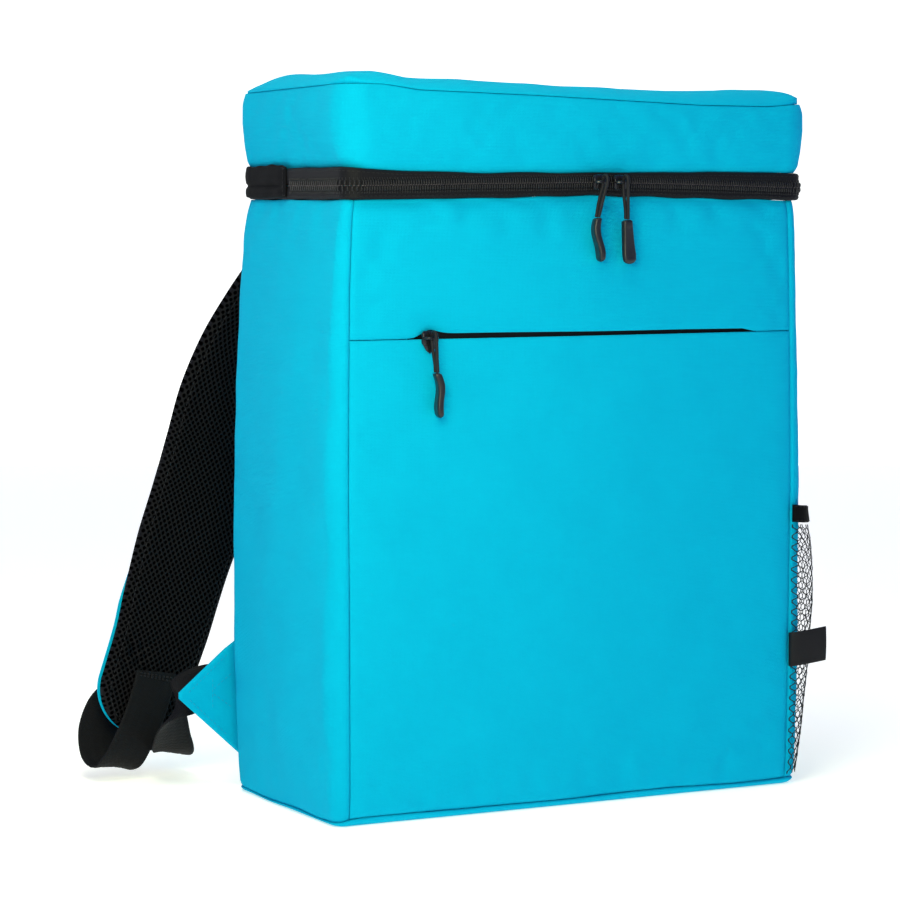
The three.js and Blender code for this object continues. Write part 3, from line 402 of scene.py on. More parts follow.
def capsule(sides=6, waist=.72):
    """A small stitch along x from -1 to 1 with radius 1 in y and z."""
    verts = [(-1, 0, 0)]
    for x in (-waist, 0, waist):
        r = 1.0 if x == 0 else .82
        verts += [(x, r * math.cos(2 * PI * i / sides), r * math.sin(2 * PI * i / sides)) for i in range(sides)]
    verts.append((1, 0, 0))
    faces = [(0, 1 + (i + 1) % sides, 1 + i) for i in range(sides)]
    for ring in range(2):
        o = 1 + ring * sides
        faces += [(o + i, o + (i + 1) % sides, o + sides + (i + 1) % sides, o + sides + i) for i in range(sides)]
    o, last = 1 + 2 * sides, 1 + 3 * sides
    faces += [(o + i, o + (i + 1) % sides, last) for i in range(sides)]
    return verts, faces


def unit(v):
    return v / np.maximum(np.linalg.norm(v, axis=-1, keepdims=True), 1e-9)


def stitches(name, starts, ends, normals, radius, mat, **kw):
    mid = (starts + ends) / 2
    X = (ends - starts) / 2
    N = unit(normals)
    Y = unit(np.cross(N, X))
    N = unit(np.cross(X, Y))
    verts, faces = capsule()
    return many(name, verts, faces, mid, X, Y * radius, N * radius, mat, **kw)


def stitch_line(points, normals, length, gap):
    """Starts, ends and normals of stitches along a line of points."""
    seg = np.linalg.norm(np.diff(points, axis=0), axis=1)
    s = np.concatenate([[0], np.cumsum(seg)])
    count = int((s[-1] - length) // (length + gap)) + 1
    first = (s[-1] - (count * (length + gap) - gap)) / 2 + np.arange(count) * (length + gap)
    pick = lambda d, arr: np.stack([np.interp(d, s, arr[:, k]) for k in range(3)], 1)
    return pick(first, points), pick(first + length, points), pick(first + length / 2, normals)


def join_lines(lines):
    return tuple(np.concatenate([l[k] for l in lines]) for k in range(3))


# ---------------------------------------------------------- noise and folds
def waves(seed, scale, count=9, stretch=(1, 1)):
    r = np.random.default_rng(seed)
    angle = r.uniform(0, 2 * PI, count)
    k = 2 * PI / scale * r.uniform(.6, 1.6, count)
    phase = r.uniform(0, 2 * PI, count)

    def f(u, v):
        u, v = u / stretch[0], v / stretch[1]
        out = 0
        for a, kk, p in zip(angle, k, phase):
            out = out + np.sin(kk * (u * math.cos(a) + v * math.sin(a)) + p)
        return out / math.sqrt(count / 2) * .5
    return f


def fold_depth(table, u, z):
    total = 0
    for i in range(len(table["u"])):
        a = math.radians(table["angle"][i])
        du, dz = u - table["u"][i], z - table["z"][i]
        along = du * math.cos(a) + dz * math.sin(a)
        across = -du * math.sin(a) + dz * math.cos(a)
        total = total + table["depth"][i] * np.exp(-(along / table["length"][i]) ** 2 - (across / table["width"][i]) ** 2)
    return total


def hump(t):
    return np.cos(PI * np.clip(t, -1, 1) / 2) ** 2


def dense(n, edge=(0, .004, .009, .016, .026)):
    """Parameters from 0 to 1, closer together at both ends."""
    inner = np.linspace(.04, .96, n)
    return np.concatenate([edge, inner, [1 - e for e in edge[::-1]]])


def edge_roll(s, depth=1.25, reach=1.5):
    return depth * np.exp(-(np.maximum(s, 0) / reach) ** 1.6)


def pucker(seed, along, away, period=17.0, amount=.28, reach=8.0):
    w = waves(seed, period, 5)
    away = np.maximum(away, 0)
    return amount * w(along, 0 * along) * np.exp(-away / reach) * (1 - np.exp(-away / 1.2))


# Height of the base seam all round, a little wavy as sewn by hand.
SEAM_WAVE = waves(41, 95.0, 6)


def base_seam(x, y):
    return 4.2 + .6 * SEAM_WAVE(x, y * 1.3) - 1.9 / (1 + np.exp((x + 141.0) / 2.5))


# -------------------------------------------------------------- cloth solver
def relax(name, P, pinned, ring, grow, pressure, frames, cap):
    """Cloth on a coarse grid (J, I, 3) with some points held; returns how far each point moved."""
    J, I = P.shape[:2]
    _, _, _, top = grid_faces(J, I, ring)
    mesh = bpy.data.meshes.new(name)
    mesh.from_pydata((P.reshape(-1, 3) * MM).tolist(), [], top.tolist())
    mesh.update()
    ob = bpy.data.objects.new(name, mesh)
    bpy.context.scene.collection.objects.link(ob)
    group = ob.vertex_groups.new(name="held")
    group.add(np.flatnonzero(pinned.ravel()).tolist(), 1.0, "REPLACE")
    mod = ob.modifiers.new("Cloth", "CLOTH")
    s = mod.settings
    s.quality = 6
    s.mass = .25
    s.tension_stiffness = s.compression_stiffness = 18
    s.shear_stiffness = 8
    s.bending_stiffness = .35
    s.vertex_group_mass = "held"
    s.pin_stiffness = 1
    s.shrink_min = -grow
    s.shrink_max = -grow
    s.use_pressure = True
    s.uniform_pressure_force = pressure
    s.effector_weights.gravity = 0
    s.air_damping = 3
    mod.collision_settings.use_collision = False
    mod.collision_settings.use_self_collision = False
    mod.point_cache.frame_start = 1
    mod.point_cache.frame_end = frames
    scene = bpy.context.scene
    for k in range(1, frames + 1):
        scene.frame_set(k)
    dg = bpy.context.evaluated_depsgraph_get()
    ev = ob.evaluated_get(dg)
    co = np.empty(J * I * 3)
    ev.data.vertices.foreach_get("co", co)
    scene.frame_set(1)
    bpy.data.objects.remove(ob)
    bpy.data.meshes.remove(mesh)
    D = co.reshape(J, I, 3) / MM - P
    size = np.linalg.norm(D, axis=2, keepdims=True)
    return D * np.minimum(1, cap / np.maximum(size, 1e-6)) * (size < 1e3)


def cubic(data, coords, axis):
    """Smooth reading of a table along one axis at fractional rows (Catmull-Rom)."""
    n = data.shape[axis]
    data = np.moveaxis(data, axis, 0)
    c = np.clip(coords, 0, n - 1.000001)
    i = np.floor(c).astype(int)
    f = (c - i).reshape(-1, *([1] * (data.ndim - 1)))
    g = lambda k: data[np.clip(i + k, 0, n - 1)]
    p0, p1, p2, p3 = g(-1), g(0), g(1), g(2)
    out = p1 + .5 * f * (p2 - p0 + f * (2 * p0 - 5 * p1 + 4 * p2 - p3 + f * (3 * (p1 - p2) + p3 - p0)))
    return np.moveaxis(out, 0, axis)


# ---------------------------------------------------------------- body walls
def face_points(z, t, face, trim=.2):
    """Point and outward normal of the front or back face; t from -1 to 1."""
    s = at(WALL_ROWS, "z", z)
    sign = -1 if face == "front" else 1
    half = s["a"] - (s["rF"] if face == "front" else s["rB"]) - trim
    x = s["cx"] + t * half
    y = sign * (s["b"] + s[face] * hump(t))
    return np.stack([x, y, z], -1), np.stack([0 * x, sign + 0 * x, 0 * x], -1), half


def side_points(z, q, side, table=None, edge_trim=.2):
    """Points of a side wall; q runs 0..1 round the front corner, 1..2 along the side, 2..3 round the back corner."""
    s = at(WALL_ROWS, "z", z) if table is None else {k: v + 0 * z for k, v in table.items()}
    front, back = np.clip(q, 0, 1), np.clip(q - 2, 0, 1)
    flat = np.clip(q - 1, 0, 1)
    ang = np.where(q <= 1, -PI / 2 * (1 - front), np.where(q >= 2, PI / 2 * back, 0))
    r = np.where(q <= 1, s["rF"], s["rB"])
    y0 = -(s["b"] - s["rF"])
    y1 = s["b"] - s["rB"]
    yc = np.where(q <= 1, y0, np.where(q >= 2, y1, y0 + (y1 - y0) * flat))
    x = s["a"] - r + r * np.cos(ang)
    y = yc + r * np.sin(ang)
    x = np.where((q > 1) & (q < 2), s["a"] + s["side"] * hump(2 * flat - 1), x)
    y = np.where((q > 1) & (q < 2), yc, y)
    x = x + edge_trim * np.where(q < .2, (1 - q / .2), 0) + edge_trim * np.where(q > 2.8, (q - 2.8) / .2, 0)
    P = np.stack([s["cx"] + side * x, y, z + 0 * x], -1)
    N = np.stack([side * np.cos(ang), np.sin(ang), 0 * x], -1)
    return P, N


SIDE_Q = np.concatenate([[0, .015, .035, .06, .1, .16, .25, .37, .5, .63, .76, .88], 1 + np.linspace(0, 1, 60),
                         [2.1, 2.25, 2.4, 2.55, 2.7, 2.8, 2.88, 2.94, 2.97, 2.985, 3.0]])


EDGE_A = waves(61, 42.0, 7)
EDGE_B = waves(62, 46.0, 7)


def edge_low(x, y):
    return at(BAND_ROWS, "x", x)["low"] + .35 * EDGE_A(x - y, 0 * x)


def edge_high(x, y):
    return at(BAND_ROWS, "x", x)["high"] + .4 * EDGE_B(x - y, 0 * x)


# The cloth of the whole body on a coarse grid, held at its seams and pushed
# out a little from inside, gives the loose wrinkles of every wall.
def body_relax():
    zt = np.linspace(0, 1, 46)
    nf, ns = 34, 20
    cols = []
    tf = np.linspace(-1, 1, nf)
    q = np.concatenate([[0, .5], np.linspace(1, 2, ns - 4), [2.5, 3.0]])
    keys = []
    for t in tf[:-1]:
        keys.append(("front", t))
    for v in q[:-1]:
        keys.append(("right", v))
    for t in tf[::-1][:-1]:
        keys.append(("back", t))
    for v in q[::-1][:-1]:
        keys.append(("left", v))
    P = np.zeros((len(keys), len(zt), 3))
    pins = np.zeros((len(keys), len(zt)), bool)
    for j, (kind, v) in enumerate(keys):
        z = 4.6 + zt * 330.5
        if kind in ("front", "back"):
            P[j] = face_points(z, np.full_like(z, v), kind, 0)[0]
            pins[j] = abs(v) > .999
        else:
            P[j] = side_points(z, np.full_like(z, v), 1 if kind == "right" else -1)[0]
            pins[j] = v == 0 or v == 3.0
    pins[:, 0] = pins[:, -1] = True
    D = relax("body_relax", P, pins, True, .005, 1.2, 22, 1.5)
    pick = lambda kind: np.array([k == kind for k, _ in keys])
    fields = {}
    start = {}
    i = 0
    n = len(keys)
    for kind, size in (("front", nf), ("right", len(q)), ("back", nf), ("left", len(q))):
        span = [(i + k) % n for k in range(size)]
        fields[kind] = (D[span], tf if kind in ("front", "back") else q)
        i += size - 1
    fields["back"] = (fields["back"][0][::-1], tf)
    fields["left"] = (fields["left"][0][::-1], q)
    return fields


BODY_FIELD = body_relax()


def body_field(kind, v, z):
    """Cloth movement of a wall at column values v (J,) and heights z (J, I)."""
    D, keys = BODY_FIELD[kind]
    cols = cubic(D, np.interp(v, keys, np.arange(len(keys))), 0)
    f = np.clip((z - 4.6) / 330.5, 0, 1) * (D.shape[1] - 1)
    i = np.clip(np.floor(f).astype(int), 0, D.shape[1] - 2)
    w = (f - i)[..., None]
    w = w * w * (3 - 2 * w)
    j = np.arange(len(v))[:, None]
    return cols[j, i] * (1 - w) + cols[j, i + 1] * w


SOFT = waves(3, 84.0, 10)
SOFT2 = waves(4, 36.0, 10)
SOFT_SIDE = waves(5, 70.0, 10)
SOFT_SIDE2 = waves(6, 30.0, 10)


def wall_depth(kind, u, z, s_left, s_right, z_low, z_high, shift=0.0):
    """How far the cloth sinks in from its plain surface."""
    if kind == "front":
        d = fold_depth(FRONT_FOLDS, u, z) * hump(u / 140) + .38 * SOFT(u, z) + .13 * SOFT2(u, z)
    else:
        d = fold_depth(SIDE_FOLDS, u, z) * hump(u / 58) + .34 * SOFT_SIDE(u * 1.3 + shift, z) + .12 * SOFT_SIDE2(u, z + shift)
    ends = (1 - np.exp(-s_left / 7)) * (1 - np.exp(-s_right / 7))
    d = d * ends
    d = d + pucker(11, z + shift, s_left, 17.0, .2) + pucker(12, z + shift, s_right, 17.0, .2 if kind == "front" else .1)
    d = d + pucker(13, u + shift, z - z_low, 21.0, .3, 9.0)
    d = d + pucker(14 if kind == "front" else 15, u + shift, z_high - z, 27.0, .75, 11.0)
    return d


def sides_of(P):
    step = np.linalg.norm(np.diff(P, axis=0), axis=2)
    s = np.concatenate([np.zeros((1, P.shape[1])), np.cumsum(step, 0)])
    return s, s[-1:] - s


def slit_height(x):
    inside = (x > -101) & (x < 114)
    open_ = 2.7 + (1.6 - 2.7) * (x + 101) / 215
    ends = np.clip(np.minimum((x + 101) / 8, (114 - x) / 8), 0, 1)
    bow = .5 * np.sin(PI * np.clip((x + 101) / 215, 0, 1)) * np.sin((x + 101) / 23)
    lift = 2.1 * np.exp(-((x + 93.6) / 7.5) ** 2)
    return np.where(inside, (open_ + .25 * bow) * ends, 0) + lift


def front_panel(name, low_at, high_at, n_rows, nodes, rolls=(1.25, 1.25)):
    t = np.concatenate([-1 + np.array([0, .0016, .004, .0075, .012, .02]), np.linspace(-.97, .97, 132),
                        1 - np.array([.02, .012, .0075, .004, .0016, 0])])
    r = dense(n_rows)
    z0 = np.full(len(t), 200.0)
    x_guess = t * 139
    low, high = low_at(x_guess), high_at(x_guess)
    z = low[:, None] + (high - low)[:, None] * r[None]
    T = np.repeat(t[:, None], len(r), 1)
    P, N, half = face_points(z, T, "front")
    s0, s1 = (T + 1) * half, (1 - T) * half
    d = wall_depth("front", P[..., 0], z, s0, s1, low[:, None] * 0 + 4.5, high[:, None] * 0 + 336)
    roll = edge_roll(s0) + edge_roll(s1) + edge_roll(z - low[:, None], rolls[0], 1.1) + edge_roll(high[:, None] - z, rolls[1], 1.1)
    move = body_field("front", t, z)
    keep = (1 - np.exp(-s0 / 5)) * (1 - np.exp(-s1 / 5))
    outer = P - N * (d + np.minimum(roll, 1.45))[..., None] + move * keep[..., None]
    inner = P - N * np.minimum(d + FRONT_CLOTH, FRONT_CLOTH + 1.2)[..., None] + move * keep[..., None] * .8
    inner[..., 1] = np.maximum(inner[..., 1], outer[..., 1] + .35)
    uv = np.stack([P[..., 0], z], -1)
    return slab(name, outer, inner, CYAN, uv, nodes=nodes), outer, (t, r)


pocket, pocket_outer, _ = front_panel(
    "front_pocket_cloth", lambda x: base_seam(x, -70.0) + .25, lambda x: POCKET_Z + 0 * x, 118, ["front_pocket_panel"], (1.25, .9))
upper, upper_outer, _ = front_panel(
    "front_upper_cloth", lambda x: POCKET_Z + GAP + slit_height(x), lambda x: edge_low(x, -67.0) - .12, 44,
    ["front_upper_panel"], (.9, .25))


def side_wall(name, side, nodes):
    q = SIDE_Q
    r = dense(150)
    seed = -1 if side < 0 else 1
    base = side_points(np.full(len(q), 30.0), q, side)[0]
    low = base_seam(base[:, 0], base[:, 1]) + .25
    high = edge_low(base[:, 0], base[:, 1]) - .12
    z = low[:, None] + (high - low)[:, None] * r[None]
    Q = np.repeat(q[:, None], len(r), 1)
    P, N = side_points(z, Q, side)
    s0, s1 = sides_of(P)
    u = P[..., 1]
    flat = np.clip(1 - np.abs(u) / 70, 0, 1)
    d = wall_depth("side", u, z, s0, s1, 4.5, 336.0, 170.0 * (side > 0))
    roll = edge_roll(s0) + edge_roll(s1) + edge_roll(z - low[:, None], 1.2, 1.1) + edge_roll(high[:, None] - z, .25, 1.1)
    move = body_field("right" if side > 0 else "left", q, z)
    keep = .5 * (1 - np.exp(-s0 / 5)) * (1 - np.exp(-s1 / 16))
    outer = P - N * (d + np.minimum(roll, 1.45))[..., None] + move * keep[..., None]
    inner = P - N * WALL
    uv = np.stack([s0, z], -1)
    ob = slab(name, outer, inner, CYAN, uv, nodes=nodes)
    return ob


side_wall("side_cloth_left", -1, ["side_panel_left"])
side_wall("side_cloth_right", 1, ["side_panel_right"])


def plain_wall(name, face, depth0, depth1, nodes, mat, n=(70, 120), seam_z=None):
    t = np.concatenate([-1 + np.array([0, .003, .008, .016]), np.linspace(-.97, .97, n[0]), 1 - np.array([.016, .008, .003, 0])])
    r = dense(n[1])
    x = t * 136
    sign = -1 if face == "front" else 1
    low = base_seam(x, sign * 70.0) + .25
    high = edge_low(x, sign * 67.0) - .12
    z = low[:, None] + (high - low)[:, None] * r[None]
    T = np.repeat(t[:, None], len(r), 1)
    P, N, half = face_points(z, T, face, .2 if depth0 == 0 else .4)
    s0, s1 = (T + 1) * half, (1 - T) * half
    if face == "front":
        d = fold_depth(FRONT_FOLDS, P[..., 0], z) * hump(P[..., 0] / 140) * .6 + .4
        roll = 0 * z
        move = 0
    else:
        d = wall_depth("side", P[..., 0] * .5, z, s0, s1, 4.5, 336.0)
        roll = edge_roll(s0) + edge_roll(s1) + edge_roll(z - low[:, None], 1.2, 1.1) + edge_roll(high[:, None] - z, .25, 1.1)
        move = body_field("back", t, z) * ((1 - np.exp(-s0 / 5)) * (1 - np.exp(-s1 / 5)))[..., None]
    if seam_z is not None:
        roll = roll + edge_roll(np.abs(z - seam_z), 1.1, 1.2)
    outer = P - N * (depth0 + d + np.minimum(roll, 1.45))[..., None] + move
    inner = P - N * (depth1 + d * (face == "front"))[..., None]
    uv = np.stack([P[..., 0], z], -1)
    ob = slab(name, outer, inner, mat, uv, nodes=nodes)
    return ob


plain_wall("front_wall_cloth", "front", FRONT_CLOTH + 1.6, FRONT_CLOTH + 1.6 + WALL, ["front_wall"], CYAN, (40, 60))
plain_wall("back_cloth", "back", 0, WALL, ["back_panel"], CYAN, seam_z=327.0)


# ----------------------------------------------------------------------- base
def base():
    s = at(WALL_ROWS, "z", 4.0)
    q = np.concatenate([np.linspace(0, 1, 9), 1 + np.linspace(.02, .98, 40), np.linspace(2, 3, 11)])
    R, RN = side_points(np.full(len(q), 4.0), q, 1, {k: v for k, v in s.items()})
    L, LN = side_points(np.full(len(q), 4.0), q, -1, {k: v for k, v in s.items()})
    t = np.linspace(-.985, .985, 90)
    F, FN, _ = face_points(np.full(len(t), 4.0), t, "front", 0)
    B, BN, _ = face_points(np.full(len(t), 4.0), t, "back", 0)
    ring = np.concatenate([F, R, B[::-1], L[::-1]])
    nrm = np.concatenate([FN, RN, BN[::-1], LN[::-1]])
    top = base_seam(ring[:, 0], ring[:, 1]) - .15
    w = waves(51, 60.0, 7)
    bulge = .35 * w(ring[:, 0], ring[:, 1])
    steps = [(12.0, 0.0, 0), (6.5, .0, 0), (4.2, .12, 0), (2.5, .75, .4), (1.1, 1.7, .8), (.35, 2.7, 1), (.15, .82, 2),
             (.5, .95, 2), (1.3, 1.0, 2)]
    sections = []
    for depth, h, kind in steps:
        z = top * h if kind == 2 else np.full(len(ring), h) * (top / 4.0)
        amount = depth - (bulge * (kind if kind < 2 else .7))
        sections.append(np.concatenate([(ring - nrm * amount[:, None])[:, :2], z[:, None]], 1))
    S = np.array(sections)
    # close both ends with a flat middle
    lo = S[0] * [.0, .0, 0] + np.array([0, 0, 0.0])
    uv = np.stack([S[..., 0], S[..., 1] + S[..., 2]], -1)
    return loft("base_cloth", S, CYAN, uv, nodes=["base_panel"])


base()

# ------------------------------------------------------------ band round neck


def neck_route(step=1.6):
    arc = np.linspace(0, 1, 9)
    q = np.concatenate([arc[:-1], 1 + np.linspace(0, 1, int(118 / step)), 2 + arc[1:]])
    z = np.zeros(len(q))
    R, RN = side_points(z, q, 1, NECK)
    L, LN = side_points(z, q, -1, NECK)
    half = NECK["a"] - NECK["rF"] - .2
    t = np.linspace(-1, 1, int(2 * half / step))[1:-1]
    F = np.stack([NECK["cx"] + t * half, -(NECK["b"] + NECK["front"] * hump(t)), 0 * t], -1)
    FN = np.stack([0 * t, -1 + 0 * t, 0 * t], -1)
    P = np.concatenate([L[::-1], F, R])
    N = np.concatenate([LN[::-1], FN, RN])
    s = np.concatenate([[0], np.cumsum(np.linalg.norm(np.diff(P, axis=0), axis=1))])
    return P, unit(N), s


ROUTE, ROUTE_N, ROUTE_S = neck_route()
EDGE_WAVE = waves(61, 42.0, 7)


def band_at(P, s):
    r = at(BAND_ROWS, "x", P[:, 0])
    r["low"] = edge_low(P[:, 0], P[:, 1])
    r["high"] = edge_high(P[:, 0], P[:, 1])
    return r


def tape(name, upper):
    r = band_at(ROUTE, ROUTE_S)
    c, edge = r["coil"], (r["high"] if upper else r["low"])
    sign = 1 if upper else -1
    w = np.abs(edge - c)
    # (share of the width from the coil, or absolute; height out of the neck line)
    prof = [(.2, -TAPE_IN), (.2, 2.75), (1.0, 2.8), (2.6, 2.95), (3.1, 3.05), (4.2, 3.05), (4.5, 2.9), (4.9, 3.0)]
    cols = []
    for d, o in prof:
        cols.append((c + sign * d, np.full(len(c), o)))
    for f, o in [(-1.5, 3.05), (-.9, 2.85), (-.3, 2.2), (0, 1.2), (0, -TAPE_IN)]:
        cols.append((edge + sign * f, np.full(len(c), o) + (.12 * EDGE_WAVE(ROUTE_S * 1.7, 33.0) if o > 0 else 0)))
    sections = []
    for zz, oo in cols:
        p = ROUTE + ROUTE_N * oo[:, None]
        sections.append(np.stack([p[:, 0], p[:, 1], zz], -1))
    S = np.stack(sections, 1)
    uv = np.stack([np.repeat(ROUTE_S[:, None], len(cols), 1), S[..., 2]], -1)
    return loft(name, S, TAPE, uv, sharp=60, slot="black_cloth", nodes=[f"main_zip_tape_{'upper' if upper else 'lower'}"])


tape("zip_tape_upper", True)
tape("zip_tape_lower", False)


def route_frames(s):
    P = np.stack([np.interp(s, ROUTE_S, ROUTE[:, k]) for k in range(3)], 1)
    N = unit(np.stack([np.interp(s, ROUTE_S, ROUTE_N[:, k]) for k in range(3)], 1))
    T = unit(np.cross(N, np.array([0, 0, 1.0])[None]))
    return P, N, T


COVER_FROM_Y = 3.0
front_part = ROUTE[:, 1] < COVER_FROM_Y - 1.2
S0, S1 = ROUTE_S[front_part][0], ROUTE_S[front_part][-1]


def coil():
    # the photo shows the turns wider apart on the side than its slant would make them
    way = np.arange(S0 + .8, S1 - .8, .1)
    step = 1.5 + np.abs(route_frames(way)[2][:, 1]) ** 4
    turn = np.cumsum(.1 / step)
    count = np.arange(1, int(turn[-1]))
    s = np.interp(count, turn, way)
    P, N, T = route_frames(s)
    z = at(BAND_ROWS, "x", P[:, 0])["coil"]
    Zv = np.array([0, 0, 1.0])
    # a bent bar of the coil seen from the middle outwards: (height, out)
    line = [(-.25, .35), (.15, .72), (.9, .93), (1.9, .9), (2.6, .62), (2.95, .2)]
    sides = 6
    verts, faces = [], []
    for k, (h, o) in enumerate(line):
        r = .5 if 0 < k < len(line) - 1 else .34
        for i in range(sides):
            a = 2 * PI * i / sides
            verts.append((r * math.cos(a), o + r * .75 * math.sin(a), h))
    for k in range(len(line) - 1):
        o = k * sides
        faces += [(o + i, o + (i + 1) % sides, o + sides + (i + 1) % sides, o + sides + i) for i in range(sides)]
    faces += [tuple(range(sides))[::-1], tuple((len(line) - 1) * sides + i for i in range(sides))]
    origin = P + N * (TAPE_OUT + .02)
    up_o = origin.copy(); up_o[:, 2] = z
    P2, N2, T2 = route_frames(np.interp(count + .5, turn, way))
    low_o = P2 + N2 * (TAPE_OUT + .02)
    low_o[:, 2] = at(BAND_ROWS, "x", P2[:, 0])["coil"]
    O = np.concatenate([up_o, low_o])
    X = np.concatenate([T, T2])
    Y = np.concatenate([N, N2])
    Z = np.concatenate([np.repeat(Zv[None], len(s), 0), -np.repeat(Zv[None], len(s), 0)])
    return many("zip_coil", verts, faces, O, X, Y, Z, COIL, slot="black_plastic", nodes=["main_zip_coil"])


coil()


def band_ticks():
    """Sewing that holds the coil, in two rows, and light grey dashes along its middle: a painted highlight where the
    two rows of the coil meet.
    """
    s = np.arange(S0 + 1, S1 - 1, 1.5)
    P, N, T = route_frames(s)
    z = at(BAND_ROWS, "x", P[:, 0])["coil"]
    a, b, n = [], [], []
    for sign in (1, -1):
        for lo, hi in ((2.75, 4.35),):
            p = P + N * 3.12
            q = P + N * 3.1 + T * .35
            a.append(np.column_stack([p[:, :2], z + sign * lo]))
            b.append(np.column_stack([q[:, :2], z + sign * hi]))
            n.append(N)
    stitches("zip_sewing", np.concatenate(a), np.concatenate(b), np.concatenate(n), .3, COIL, slot="black_cloth")
    # light grey dashes along the middle of the coil: a painted highlight
    p = P + N * 3.72 - T * .5
    q = P + N * 3.72 + T * .5
    stitches("zip_middle_painted_highlight", np.column_stack([p[:, :2], z]), np.column_stack([q[:, :2], z]), N, .26, ZIP_MIDDLE_HIGHLIGHT, slot="black_cloth")
    lines = []
    ss = np.linspace(S0 - 40, S1 + 40, 900)
    P, N, T = route_frames(np.clip(ss, 1, ROUTE_S[-1] - 1))
    r = band_at(P, ss)
    for zz in (r["low"] + 1.9, r["high"] - 1.9):
        line = np.column_stack([(P + N * 3.1)[:, :2], zz])
        lines.append(stitch_line(line, N, 2.0, .8))
    stitches("band_topstitch", *join_lines(lines), .2, THREAD, slot="black_cloth")


band_ticks()


def end_cover(name, side, node_name):
    mask = (ROUTE[:, 1] > COVER_FROM_Y) & (np.sign(ROUTE[:, 0] - NECK["cx"]) == side)
    P, N, s = ROUTE[mask], ROUTE_N[mask], ROUTE_S[mask]
    r = band_at(P, s)
    s = np.abs(s - s[np.argmin(P[:, 1])])
    top = r["high"] + (1.8 if side < 0 else -.6)
    start = np.exp(-(s / 4) ** 2)
    top = top - 1.2 * start + .35 * EDGE_WAVE(s * 2.2, 11.0)
    low = r["low"] + .9 + .5 * start
    v = np.array([0, .03, .08, .16, .26, .36, .44, .475, .495, .505, .525, .56, .64, .74, .84, .92, .97, 1.0])
    c = (r["coil"] - low) / (top - low)
    z, out = [], []
    w = waves(71, 16.0, 6)
    for k in v:
        share = np.where(k < .5, k * 2 * c, c + (k - .5) * 2 * (1 - c))
        zz = low + (top - low) * share
        slit = np.exp(-((zz - r["coil"]) / .75) ** 2) * np.clip((s - 3) / 10, 0, 1)
        bulge = .75 * np.sin(PI * np.clip((share / np.maximum(c, .01)) if k < .5 else (share - c) / (1 - c), 0, 1)) ** .8
        o = TAPE_OUT + .75 + bulge * np.clip(s / 9, 0, 1) - .95 * slit + .22 * w(s, zz) - (.45 if k in (0, 1.0) else 0) * 1.0
        z.append(zz)
        out.append(np.maximum(o, TAPE_OUT + .25))
    z, out = np.array(z).T, np.array(out).T
    outer = P[:, None] + N[:, None] * out[..., None]
    outer[..., 2] = z
    inner = P[:, None] + N[:, None] * np.full(out.shape, TAPE_OUT + .12)[..., None]
    inner[..., 2] = z
    uv = np.stack([np.repeat(s[:, None], len(v), 1), z], -1)
    ob = slab(name, outer, inner, BLACK_WEAVE, uv, slot="black_cloth", nodes=[node_name])
    lines = []
    for k, off in ((0, 1.2), (-1, -1.2)):
        line = outer[:, k].copy()
        line[:, 2] += off
        line = line + N * .45
        lines.append(stitch_line(line, N, 1.9, .9))
    front = outer[2 if s[0] < s[-1] else -3].copy()
    lines.append(stitch_line(front + N[2] * .2, np.repeat(N[2:3] if s[0] < s[-1] else N[-3:-2], len(front), 0), 1.6, .8))
    stitches(name + "_stitches", *join_lines(lines), .24, THREAD, slot="black_cloth")


end_cover("zip_end_left", -1, "zip_end_cover_left")
end_cover("zip_end_right", 1, "zip_end_cover_right")


def hinge():
    half = NECK["a"] - NECK["rB"] - .2
    t = np.linspace(-1, 1, 90)
    x = NECK["cx"] + t * half
    y0 = NECK["b"] + NECK["back"] * hump(t)
    r = dict(low=edge_low(x, 67.0 + 0 * x), high=edge_high(x, 67.0 + 0 * x))
    w = waves(81, 30.0, 7)
    v = [(0, 0, -TAPE_IN), (0, 0, .6), (.03, 0, 1.3), (.2, 0, 1.7), (.5, 0, 1.95), (.8, 0, 1.7), (.97, 0, 1.3), (1, 0, .6), (1, 0, -TAPE_IN)]
    S = []
    for f, _, o in v:
        z = r["low"] + (r["high"] - r["low"]) * f
        y = y0 + o + (.35 * w(x, z) if o > 1 else 0)
        S.append(np.stack([x, y, z], -1))
    S = np.stack(S, 1)
    uv = np.stack([S[..., 0], S[..., 2]], -1)
    loft("lid_hinge_cloth", S, CYAN, uv, nodes=["lid_hinge"])


hinge()


